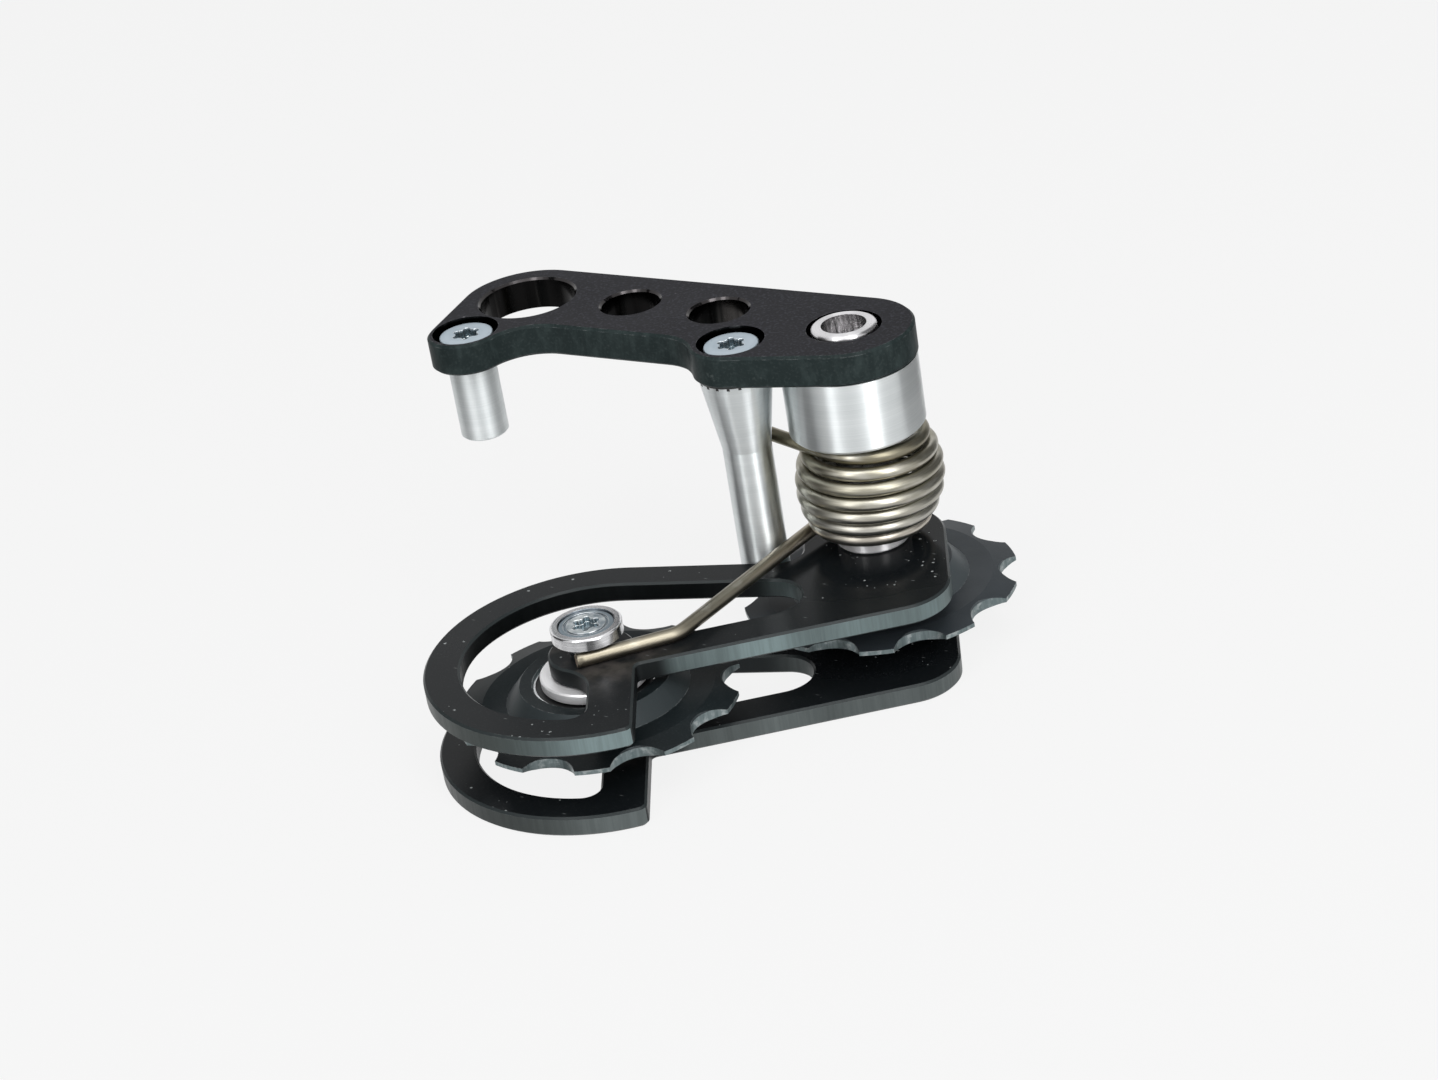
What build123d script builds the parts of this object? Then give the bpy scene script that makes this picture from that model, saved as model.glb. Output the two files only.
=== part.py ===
from build123d import *
import os
from math import acos, atan2, cos, degrees, dist, floor, radians, sin, sqrt

# Bicycle chain tensioner: a fixed bracket carries a spring-loaded cage with two toothed pulleys.
# The origin is the centre of the axle hole on the bracket's inner face, X runs to the pivot,
# Z runs along the pivot away from the cage, and all sizes are in millimetres and degrees.

os.makedirs("parts", exist_ok=True)

# Mounting plate
plate_thickness = 4.5
plate_edge_break = 0.35
pivot_x = 50.2
axle_hole_radius = 6.7
axle_lobe_radius = 9.8
pivot_lobe_radius = 9.4
plain_hole_radius = 4.1
plain_hole_first_x = 16.2
plain_hole_spacing = 14.1
plain_hole_y = 1.3
hole_edge_break = 0.3
stud_at = (-2.8, -11.6)
stud_lobe_radius = 5.35
pillar_from_pivot = (-13.3, -7.15)
pillar_lobe_radius = 5.6
waist_edge_y = -7.65
waist_stud_radius = 7.0
waist_pillar_radius = 7.0

# Low-head screws with a six-lobed recess
screw_head_radius = 3.75
screw_head_height = 1.9
screw_head_below_face = 0.5
screw_shank_radius = 2.0
screw_hole_clearance = 0.2
screw_pocket_radius = 4.6
screw_thread_length = 8.0
screw_tip_room = 1.0
screw_edge_round = 0.25
recess_core_radius = 1.5
recess_lobe_radius = 0.48
recess_depth = 1.3

# Stud and pillar
stud_radius = 3.35
stud_length = 11.0
turned_edge_break = 0.3
pillar_radius = 3.35
pillar_top_radius = 5.0
pillar_cone_height = 10.5
pillar_end_above_plate_underside = 0.5
washer_thickness = 0.3
washer_radius = 5.0
washer_tooth_count = 20
washer_tooth_width = 0.42
washer_tooth_length = 1.2
washer_tooth_depth = 0.3

# Spring drum and pivot
drum_radius = 9.25
drum_height = 10.0
drum_edge_break = 0.45
drum_spigot_radius = 4.8
drum_spigot_length = 3.0
pivot_head_radius = 4.45
pivot_head_height = 2.3
pivot_head_proud = 0.3
pivot_head_edge_round = 0.55
pivot_pocket_radius = 5.05
pivot_shoulder_radius = 3.9
pivot_shank_radius = 3.0
pivot_bore_radius = 3.05
pivot_bore_depth = 4.0
pivot_socket_across_flats = 5.0
pivot_socket_depth = 3.0
pivot_running_gap = 0.04
pivot_end_play = 0.1
pivot_thread_radius = 1.5
pivot_thread_length = 8.0
end_screw_head_radius = 5.2
end_screw_head_height = 1.1
end_screw_pocket_gap = 0.4
end_screw_below_face = 0.1
end_screw_socket_across_flats = 2.0
end_screw_socket_depth = 0.8

# Cage
cage_angle = -121.7
cage_thickness = 2.8
cage_edge_break = 0.3
cage_gap = 9.0
idler_reach = 43.65
cage_pivot_lobe_radius = 9.8
cage_corner_at = (4.6, 13.0)
cage_corner_radius = 7.35
front_rail_angle = -19.8
front_rail_width = 5.7
loop_outer_radius = 22.3
loop_inner_radius = 17.4
boss_radius = 5.75
tab_angle = 61.3
tab_outer_offset = 6.0
tab_inner_offset = -0.1
slot_end_radius = 4.8
stop_gap = 0.1
rail_lobe_fillet = 3.0
tab_notch_fillet = 1.0
tab_corner_fillet = 1.3
boss_rail_fillet = 3.0
boss_tab_fillet = 6.0
tab_loop_fillet = 2.2

# Torsion spring
spring_wire_radius = 0.9
spring_space = 17.1
spring_top_gap = 0.3
spring_turn_gap = 0.2
spring_top_radius = 7.2
spring_middle_radius = 9.2
spring_bottom_radius = 6.7
spring_lean = (0.74, 0.42)
spring_points_per_turn = 12
spring_clearance = 0.1
spring_anchor_overrun = 2.0
spring_bend_local = (33.65, 6.35)
spring_tip_past_post = 2.75
spring_bend_radius = 4.0
collar_radius = 5.05
collar_height = 3.4

# Spring post and idler bolt
post_flange_radius = 4.8
post_flange_thickness = 1.65
post_neck_radius = 3.0
post_neck_height = 2.3
post_pocket_radius = 3.85
post_pocket_depth = 1.1
post_edge_round = 0.3
idler_head_radius = 3.7
idler_head_height = 0.95
idler_ring_radius = 2.85
idler_ring_width = 0.4
idler_ring_depth = 0.25
idler_recess_depth = 0.8
idler_shank_radius = 2.0
idler_end_above_face = 0.3

# Pulleys
chain_pitch = 12.7
chain_roller_radius = 3.88
seat_clearance = 0.22
seat_bevel_width = 0.35
seat_bevel_depth = 0.35
tooth_count = 10
tooth_tip_radius = 18.96
tooth_base_radius = 15.6
tooth_tip_thickness = 0.6
wheel_thickness = 2.0
hub_top_radius = 10.4
hub_base_radius = 12.3
hub_width = 6.8
hub_edge_break = 0.2
guide_phase = 43.5
idler_phase = 10.8

# Bearings
bearing_radius = 8.5
bearing_width = 6.0
bearing_edge_break = 0.15
outer_ring_bore_radius = 7.5
inner_ring_radius = 5.2
idler_bore_radius = 3.0
guide_bore_radius = 4.0
ball_radius = 1.4
ball_count = 8
ball_gap = 0.06
seal_radius = 8.1
seal_thickness = 0.5
seal_below_face = 0.35
seal_lip_gap = 0.1
spacer_washer_radius = 7.3
spacer_edge_break = 0.2

# Levels and places worked out from the sizes above
drum_bottom = -drum_height
upper_top = drum_bottom - spring_space
upper_bottom = upper_top - cage_thickness
lower_top = upper_bottom - cage_gap
lower_bottom = lower_top - cage_thickness
wheel_level = (upper_bottom + lower_top) / 2
spacer_thickness = (cage_gap - bearing_width) / 2
screw_pocket_depth = screw_head_height + screw_head_below_face
screw_seat = plate_thickness - screw_pocket_depth
pillar_bottom = upper_bottom + pillar_end_above_plate_underside
collar_top = upper_top + collar_height
end_screw_pocket_depth = end_screw_head_height + end_screw_below_face + pivot_end_play
sleeve_bottom = lower_bottom + end_screw_pocket_depth
pivot_bottom = sleeve_bottom - pivot_end_play
post_top = upper_top + post_neck_height + post_flange_thickness
pitch_radius = chain_pitch / (2 * sin(radians(180 / tooth_count)))
seat_radius = chain_roller_radius + seat_clearance
ball_circle_radius = (inner_ring_radius + outer_ring_bore_radius) / 2
pivot_at = (pivot_x, 0)
pillar_at = (pivot_x + pillar_from_pivot[0], pillar_from_pivot[1])
coil_top_at = (pivot_x + spring_lean[0], spring_lean[1])


def polar(centre, radius, angle):
    """Point at a radius and an angle from a centre."""
    return (centre[0] + radius * cos(radians(angle)), centre[1] + radius * sin(radians(angle)))


def heading(start, end):
    """Angle of the line from one point to another."""
    return degrees(atan2(end[1] - start[1], end[0] - start[0]))


def outer_tangent(first, first_radius, second, second_radius, side):
    """Angle of the normal shared by two circles on the tangent that keeps both on one side."""
    lean = acos((first_radius - second_radius) / dist(first, second))
    return heading(first, second) + side * degrees(lean)


def crossing_tangent(first, first_radius, second, second_radius, side):
    """Angle of the first circle's normal on the tangent that passes between two circles."""
    lean = acos((first_radius + second_radius) / dist(first, second))
    return heading(first, second) + side * degrees(lean)


def sweep_arc(centre, radius, start_angle, end_angle):
    """Counter-clockwise arc from one angle to the next."""
    return CenterArc(centre, radius, start_angle, (end_angle - start_angle) % 360)


def meet(point, angle, other, other_angle):
    """Point where two lines cross, each given by a point and an angle."""
    ax, ay = cos(radians(angle)), sin(radians(angle))
    bx, by = cos(radians(other_angle)), sin(radians(other_angle))
    along = ((other[0] - point[0]) * by - (other[1] - point[1]) * bx) / (ax * by - ay * bx)
    return (point[0] + along * ax, point[1] + along * ay)


def cage_plane(level):
    """Plane at a height with its origin on the pivot and its X axis toward the idler."""
    toward_idler = (cos(radians(cage_angle)), sin(radians(cage_angle)), 0)
    return Plane((pivot_x, 0, level), x_dir=toward_idler, z_dir=(0, 0, 1))


def in_cage(point):
    """Place in the cage's own axes of a point given in the bracket's axes."""
    local = cage_plane(0).to_local_coords(Vector(point[0], point[1], 0))
    return (local.X, local.Y)


def from_cage(point):
    """Place in the bracket's axes of a point given in the cage's own axes."""
    place = cage_plane(0).from_local_coords(Vector(point[0], point[1], 0))
    return (place.X, place.Y)


idler_local = (idler_reach, 0)
idler_at = from_cage(idler_local)


def lobed_recess():
    """Sketch of a six-lobed driver recess, centred on the sketch's origin."""
    Circle(recess_core_radius)
    with PolarLocations(recess_core_radius, 6):
        Circle(recess_lobe_radius)


def washer_teeth():
    """Sketch of the lock washer's teeth, centred on the sketch's origin."""
    with PolarLocations(washer_radius - washer_tooth_length / 2, washer_tooth_count):
        Rectangle(washer_tooth_length, washer_tooth_width)


# Mounting plate
back_side = outer_tangent((0, 0), axle_lobe_radius, pivot_at, pivot_lobe_radius, 1)
stud_side = outer_tangent((0, 0), axle_lobe_radius, stud_at, stud_lobe_radius, -1)
pivot_side = outer_tangent(pillar_at, pillar_lobe_radius, pivot_at, pivot_lobe_radius, -1)
stud_waist_y = waist_edge_y - waist_stud_radius
stud_waist_run = sqrt((stud_lobe_radius + waist_stud_radius) ** 2 - (stud_waist_y - stud_at[1]) ** 2)
stud_waist_at = (stud_at[0] + stud_waist_run, stud_waist_y)
pillar_waist_y = waist_edge_y - waist_pillar_radius
pillar_waist_reach = pillar_lobe_radius + waist_pillar_radius
pillar_waist_run = sqrt(pillar_waist_reach**2 - (pillar_waist_y - pillar_at[1]) ** 2)
pillar_waist_at = (pillar_at[0] - pillar_waist_run, pillar_waist_y)
stud_waist_turn = heading(stud_at, stud_waist_at)
pillar_waist_turn = heading(pillar_at, pillar_waist_at)

with BuildPart() as mount_plate:
    with BuildSketch():
        with BuildLine():
            Line(
                polar(pivot_at, pivot_lobe_radius, back_side),
                polar((0, 0), axle_lobe_radius, back_side),
            )
            sweep_arc((0, 0), axle_lobe_radius, back_side, stud_side)
            Line(
                polar((0, 0), axle_lobe_radius, stud_side),
                polar(stud_at, stud_lobe_radius, stud_side),
            )
            sweep_arc(stud_at, stud_lobe_radius, stud_side, stud_waist_turn)
            sweep_arc(stud_waist_at, waist_stud_radius, 90, stud_waist_turn + 180)
            Line((stud_waist_at[0], waist_edge_y), (pillar_waist_at[0], waist_edge_y))
            sweep_arc(pillar_waist_at, waist_pillar_radius, pillar_waist_turn + 180, 90)
            sweep_arc(pillar_at, pillar_lobe_radius, pillar_waist_turn, pivot_side)
            Line(
                polar(pillar_at, pillar_lobe_radius, pivot_side),
                polar(pivot_at, pivot_lobe_radius, pivot_side),
            )
            sweep_arc(pivot_at, pivot_lobe_radius, pivot_side, back_side)
        make_face()
    extrude(amount=plate_thickness)
    chamfer(mount_plate.faces().sort_by(Axis.Z)[-1].edges(), plate_edge_break)
    chamfer(mount_plate.faces().sort_by(Axis.Z)[0].edges(), plate_edge_break)
    with Locations((0, 0, plate_thickness)):
        Hole(axle_hole_radius)
    for hole in range(2):
        with Locations((plain_hole_first_x + hole * plain_hole_spacing, plain_hole_y, plate_thickness)):
            Hole(plain_hole_radius)
    rims = mount_plate.faces().sort_by(Axis.Z)[-1].inner_wires().edges()
    chamfer(rims, hole_edge_break)
    with Locations((*stud_at, plate_thickness), (*pillar_at, plate_thickness)):
        CounterBoreHole(
            screw_shank_radius + screw_hole_clearance, screw_pocket_radius, screw_pocket_depth
        )
    with Locations((*pivot_at, plate_thickness)):
        CounterBoreHole(pivot_shoulder_radius, pivot_pocket_radius, pivot_head_height - pivot_head_proud)
mount_plate.part.label = "mount_plate"
export_step(mount_plate.part, "parts/mount_plate.step")

# Short stud
with BuildPart() as short_stud:
    with BuildSketch(Plane((*stud_at, -stud_length))):
        Circle(stud_radius)
    extrude(amount=stud_length)
    chamfer(short_stud.edges().group_by(Axis.Z)[0], turned_edge_break)
    with Locations((*stud_at, 0)):
        Hole(screw_shank_radius, depth=screw_thread_length + screw_tip_room)
short_stud.part.label = "short_stud"
export_step(short_stud.part, "parts/short_stud.step")

# Serrated lock washer, with teeth that bite into the pillar
with BuildPart() as serrated_washer:
    with BuildSketch(Plane((*pillar_at, -washer_thickness))):
        Circle(washer_radius)
        Circle(screw_shank_radius + screw_hole_clearance, mode=Mode.SUBTRACT)
    extrude(amount=washer_thickness)
    with BuildSketch(Plane((*pillar_at, -washer_thickness))):
        washer_teeth()
    extrude(amount=-washer_tooth_depth)
serrated_washer.part.label = "serrated_washer"
export_step(serrated_washer.part, "parts/serrated_washer.step")

# Long pillar
with BuildPart() as long_pillar:
    with BuildSketch(Plane((*pillar_at, 0), x_dir=(1, 0, 0), z_dir=(0, -1, 0))):
        with BuildLine():
            Polyline(
                (0, -washer_thickness),
                (pillar_top_radius, -washer_thickness),
                (pillar_radius, -washer_thickness - pillar_cone_height),
                (pillar_radius, pillar_bottom + turned_edge_break),
                (pillar_radius - turned_edge_break, pillar_bottom),
                (0, pillar_bottom),
                close=True,
            )
        make_face()
    revolve(axis=Axis((*pillar_at, 0), (0, 0, 1)))
    with BuildSketch(Plane((*pillar_at, -washer_thickness))):
        washer_teeth()
    extrude(amount=-washer_tooth_depth, mode=Mode.SUBTRACT)
    with Locations((*pillar_at, -washer_thickness)):
        Hole(screw_shank_radius, depth=screw_thread_length + screw_tip_room)
long_pillar.part.label = "long_pillar"
export_step(long_pillar.part, "parts/long_pillar.step")

# Screws of the stud and the pillar, each threaded the same length into its post
for screw_name, place, post_top_level in (
    ("short_stud_screw", stud_at, 0),
    ("long_pillar_screw", pillar_at, -washer_thickness),
):
    with BuildPart() as screw:
        with BuildSketch(Plane((*place, screw_seat))):
            Circle(screw_head_radius)
        extrude(amount=screw_head_height)
        fillet(screw.edges().group_by(Axis.Z)[-1], screw_edge_round)
        with BuildSketch(Plane((*place, screw_seat))):
            Circle(screw_shank_radius)
        extrude(amount=post_top_level - screw_thread_length - screw_seat)
        with BuildSketch(Plane((*place, screw_seat + screw_head_height))):
            lobed_recess()
        extrude(amount=-recess_depth, mode=Mode.SUBTRACT)
    screw.part.label = screw_name
    export_step(screw.part, f"parts/{screw_name}.step")

# Spring drum
with BuildPart() as spring_drum:
    with BuildSketch(Plane((*pivot_at, drum_bottom))):
        Circle(drum_radius)
    extrude(amount=drum_height)
    chamfer(spring_drum.edges().group_by(Axis.Z)[0], drum_edge_break)
    with BuildSketch(Plane((*pivot_at, drum_bottom))):
        Circle(drum_spigot_radius)
    extrude(amount=-drum_spigot_length)
    with Locations((*pivot_at, 0)):
        Hole(pivot_shoulder_radius)
spring_drum.part.label = "spring_drum"
export_step(spring_drum.part, "parts/spring_drum.step")

# Pivot bolt with a round mouth above its hexagon socket and a threaded lower end
with BuildPart() as pivot_bolt:
    with BuildSketch(Plane((*pivot_at, plate_thickness + pivot_head_proud))):
        Circle(pivot_head_radius)
    extrude(amount=-pivot_head_height)
    fillet(pivot_bolt.edges().group_by(Axis.Z)[-1], pivot_head_edge_round)
    with BuildSketch(Plane((*pivot_at, collar_top + pivot_end_play))):
        Circle(pivot_shoulder_radius)
    extrude(until=Until.NEXT)
    with BuildSketch(Plane((*pivot_at, pivot_bottom))):
        Circle(pivot_shank_radius)
    extrude(amount=collar_top + pivot_end_play - pivot_bottom)
    with BuildSketch(Plane((*pivot_at, plate_thickness + pivot_head_proud))):
        Circle(pivot_bore_radius)
    extrude(amount=-pivot_bore_depth, mode=Mode.SUBTRACT)
    with BuildSketch(Plane((*pivot_at, plate_thickness + pivot_head_proud - pivot_bore_depth))):
        RegularPolygon(pivot_socket_across_flats / 2, 6, major_radius=False)
    extrude(amount=-pivot_socket_depth, mode=Mode.SUBTRACT)
    with BuildSketch(Plane((*pivot_at, pivot_bottom))):
        Circle(pivot_thread_radius)
    extrude(amount=pivot_thread_length + screw_tip_room, mode=Mode.SUBTRACT)
pivot_bolt.part.label = "pivot_bolt"
export_step(pivot_bolt.part, "parts/pivot_bolt.step")

# Flat-head screw in the lower end of the pivot bolt
with BuildPart() as pivot_end_screw:
    with BuildSketch(Plane((*pivot_at, pivot_bottom - end_screw_head_height))):
        Circle(end_screw_head_radius)
    extrude(amount=end_screw_head_height)
    with BuildSketch(Plane((*pivot_at, pivot_bottom))):
        Circle(pivot_thread_radius)
    extrude(amount=pivot_thread_length)
    with BuildSketch(Plane((*pivot_at, pivot_bottom - end_screw_head_height))):
        RegularPolygon(end_screw_socket_across_flats / 2, 6, major_radius=False)
    extrude(amount=end_screw_socket_depth, mode=Mode.SUBTRACT)
pivot_end_screw.part.label = "pivot_end_screw"
export_step(pivot_end_screw.part, "parts/pivot_end_screw.step")

# Outline of a cage plate, in the cage's own axes with the pivot at the origin
pillar_local = in_cage(pillar_at)
stop_radius = pillar_radius + stop_gap
side_turn = outer_tangent((0, 0), cage_pivot_lobe_radius, cage_corner_at, cage_corner_radius, 1)
rail_turn = front_rail_angle + 90
rail_start = polar(cage_corner_at, cage_corner_radius, rail_turn)
tab_line = polar(idler_local, tab_outer_offset, tab_angle + 90)
tab_notch = meet(rail_start, front_rail_angle, tab_line, tab_angle)
tab_run = sqrt(loop_outer_radius**2 - tab_outer_offset**2)
tab_end = polar(tab_line, tab_run, tab_angle)
stop_turn = crossing_tangent(idler_local, loop_outer_radius, pillar_local, stop_radius, 1)
back_rail_start = polar(idler_local, loop_outer_radius, stop_turn)
lobe_offset = -(back_rail_start[0] * cos(radians(stop_turn)) + back_rail_start[1] * sin(radians(stop_turn)))
notch_depth = rail_lobe_fillet - lobe_offset
notch_reach = cage_pivot_lobe_radius + rail_lobe_fillet
notch_run = sqrt(notch_reach**2 - notch_depth**2)
notch_at = polar(polar((0, 0), notch_depth, stop_turn), notch_run, stop_turn + 90)
notch_turn = heading((0, 0), notch_at)

# Outline of the opening in a cage plate
inner_rail_point = polar(rail_start, -front_rail_width, rail_turn)
back_inner_point = polar(idler_local, loop_inner_radius, stop_turn)
slot_end_at = meet(
    polar(inner_rail_point, -slot_end_radius, rail_turn),
    front_rail_angle,
    polar(back_inner_point, -slot_end_radius, stop_turn),
    stop_turn + 90,
)
tab_inner_line = polar(idler_local, tab_inner_offset, tab_angle + 90)
boss_tab_corner = polar(tab_inner_line, sqrt(boss_radius**2 - tab_inner_offset**2), tab_angle)
loop_tab_corner = polar(tab_inner_line, sqrt(loop_inner_radius**2 - tab_inner_offset**2), tab_angle)
rail_foot = meet(inner_rail_point, front_rail_angle, idler_local, rail_turn)
boss_rail_run = sqrt(boss_radius**2 - dist(rail_foot, idler_local) ** 2)
boss_rail_corner = polar(rail_foot, -boss_rail_run, front_rail_angle)

# Cage plates, the lower one with a pocket for the pivot end screw
for plate_name, plate_bottom in (("upper_cage_plate", upper_bottom), ("lower_cage_plate", lower_bottom)):
    with BuildPart() as cage_plate:
        with BuildSketch(cage_plane(plate_bottom)) as outline:
            with BuildLine():
                Line(
                    polar((0, 0), cage_pivot_lobe_radius, side_turn),
                    polar(cage_corner_at, cage_corner_radius, side_turn),
                )
                sweep_arc(cage_corner_at, cage_corner_radius, rail_turn, side_turn)
                Line(rail_start, tab_notch)
                Line(tab_notch, tab_end)
                sweep_arc(idler_local, loop_outer_radius, stop_turn, heading(idler_local, tab_end))
                Line(back_rail_start, polar(notch_at, -rail_lobe_fillet, stop_turn))
                sweep_arc(notch_at, rail_lobe_fillet, stop_turn + 180, notch_turn + 180)
                sweep_arc((0, 0), cage_pivot_lobe_radius, side_turn, notch_turn)
            make_face()
            fillet(outline.vertices().sort_by_distance(tab_notch)[0], tab_notch_fillet)
            fillet(outline.vertices().sort_by_distance(tab_end)[0], tab_corner_fillet)
        extrude(amount=cage_thickness)
        with BuildSketch(cage_plane(plate_bottom)) as opening:
            with BuildLine():
                Line(boss_tab_corner, loop_tab_corner)
                sweep_arc(idler_local, loop_inner_radius, stop_turn, heading(idler_local, loop_tab_corner))
                Line(back_inner_point, polar(slot_end_at, slot_end_radius, stop_turn))
                sweep_arc(slot_end_at, slot_end_radius, rail_turn, stop_turn)
                Line(polar(slot_end_at, slot_end_radius, rail_turn), boss_rail_corner)
                sweep_arc(
                    idler_local,
                    boss_radius,
                    heading(idler_local, boss_rail_corner),
                    heading(idler_local, boss_tab_corner),
                )
            make_face()
            fillet(opening.vertices().sort_by_distance(boss_rail_corner)[0], boss_rail_fillet)
            fillet(opening.vertices().sort_by_distance(boss_tab_corner)[0], boss_tab_fillet)
            fillet(opening.vertices().sort_by_distance(loop_tab_corner)[0], tab_loop_fillet)
        extrude(amount=cage_thickness, mode=Mode.SUBTRACT)
        chamfer(cage_plate.faces().sort_by(Axis.Z)[-1].edges(), cage_edge_break)
        chamfer(cage_plate.faces().sort_by(Axis.Z)[0].edges(), cage_edge_break)
        with Locations((*pivot_at, plate_bottom + cage_thickness)):
            Hole(guide_bore_radius)
        with Locations((*idler_at, plate_bottom + cage_thickness)):
            Hole(idler_shank_radius)
        if plate_bottom == lower_bottom:
            with BuildSketch(cage_plane(plate_bottom)):
                Circle(end_screw_head_radius + end_screw_pocket_gap)
            extrude(amount=end_screw_pocket_depth, mode=Mode.SUBTRACT)
    cage_plate.part.label = plate_name
    export_step(cage_plate.part, f"parts/{plate_name}.step")

# Spring post on the upper cage plate
with BuildPart() as spring_post:
    with BuildSketch(Plane((*idler_at, upper_top))):
        Circle(post_neck_radius)
    extrude(amount=post_neck_height)
    with BuildSketch(Plane((*idler_at, upper_top + post_neck_height))):
        Circle(post_flange_radius)
    extrude(amount=post_flange_thickness)
    fillet(spring_post.edges().group_by(Axis.Z)[-1], post_edge_round)
    with Locations((*idler_at, post_top)):
        CounterBoreHole(idler_shank_radius, post_pocket_radius, post_pocket_depth)
spring_post.part.label = "spring_post"
export_step(spring_post.part, "parts/spring_post.step")

# Idler bolt through the spring post, the cage plates and the idler sleeve, with a ring cut in its head
with BuildPart() as idler_bolt:
    with BuildSketch(Plane((*idler_at, post_top - post_pocket_depth))):
        Circle(idler_head_radius)
    extrude(amount=idler_head_height)
    fillet(idler_bolt.edges().group_by(Axis.Z)[-1], screw_edge_round)
    with BuildSketch(Plane((*idler_at, lower_bottom + idler_end_above_face))):
        Circle(idler_shank_radius)
    extrude(amount=post_top - post_pocket_depth - lower_bottom - idler_end_above_face)
    with BuildSketch(Plane((*idler_at, post_top - post_pocket_depth + idler_head_height))):
        Circle(idler_ring_radius + idler_ring_width / 2)
        Circle(idler_ring_radius - idler_ring_width / 2, mode=Mode.SUBTRACT)
    extrude(amount=-idler_ring_depth, mode=Mode.SUBTRACT)
    with BuildSketch(Plane((*idler_at, post_top - post_pocket_depth + idler_head_height))):
        lobed_recess()
    extrude(amount=-idler_recess_depth, mode=Mode.SUBTRACT)
idler_bolt.part.label = "idler_bolt"
export_step(idler_bolt.part, "parts/idler_bolt.step")

# Idler sleeve between the cage plates
with BuildPart() as idler_sleeve:
    with BuildSketch(Plane((*idler_at, lower_top))):
        Circle(idler_bore_radius)
        Circle(idler_shank_radius, mode=Mode.SUBTRACT)
    extrude(amount=cage_gap)
idler_sleeve.part.label = "idler_sleeve"
export_step(idler_sleeve.part, "parts/idler_sleeve.step")

# Pivot sleeve: a collar on the upper cage plate and a tube through both plates
with BuildPart() as pivot_sleeve:
    with BuildSketch(Plane((*pivot_at, upper_top))):
        Circle(collar_radius)
    extrude(amount=collar_height)
    chamfer(pivot_sleeve.edges().filter_by(GeomType.CIRCLE), turned_edge_break)
    with BuildSketch(Plane((*pivot_at, sleeve_bottom))):
        Circle(guide_bore_radius)
    extrude(amount=upper_top - sleeve_bottom)
    with Locations((*pivot_at, collar_top)):
        Hole(pivot_shank_radius + pivot_running_gap)
pivot_sleeve.part.label = "pivot_sleeve"
export_step(pivot_sleeve.part, "parts/pivot_sleeve.step")

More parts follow.
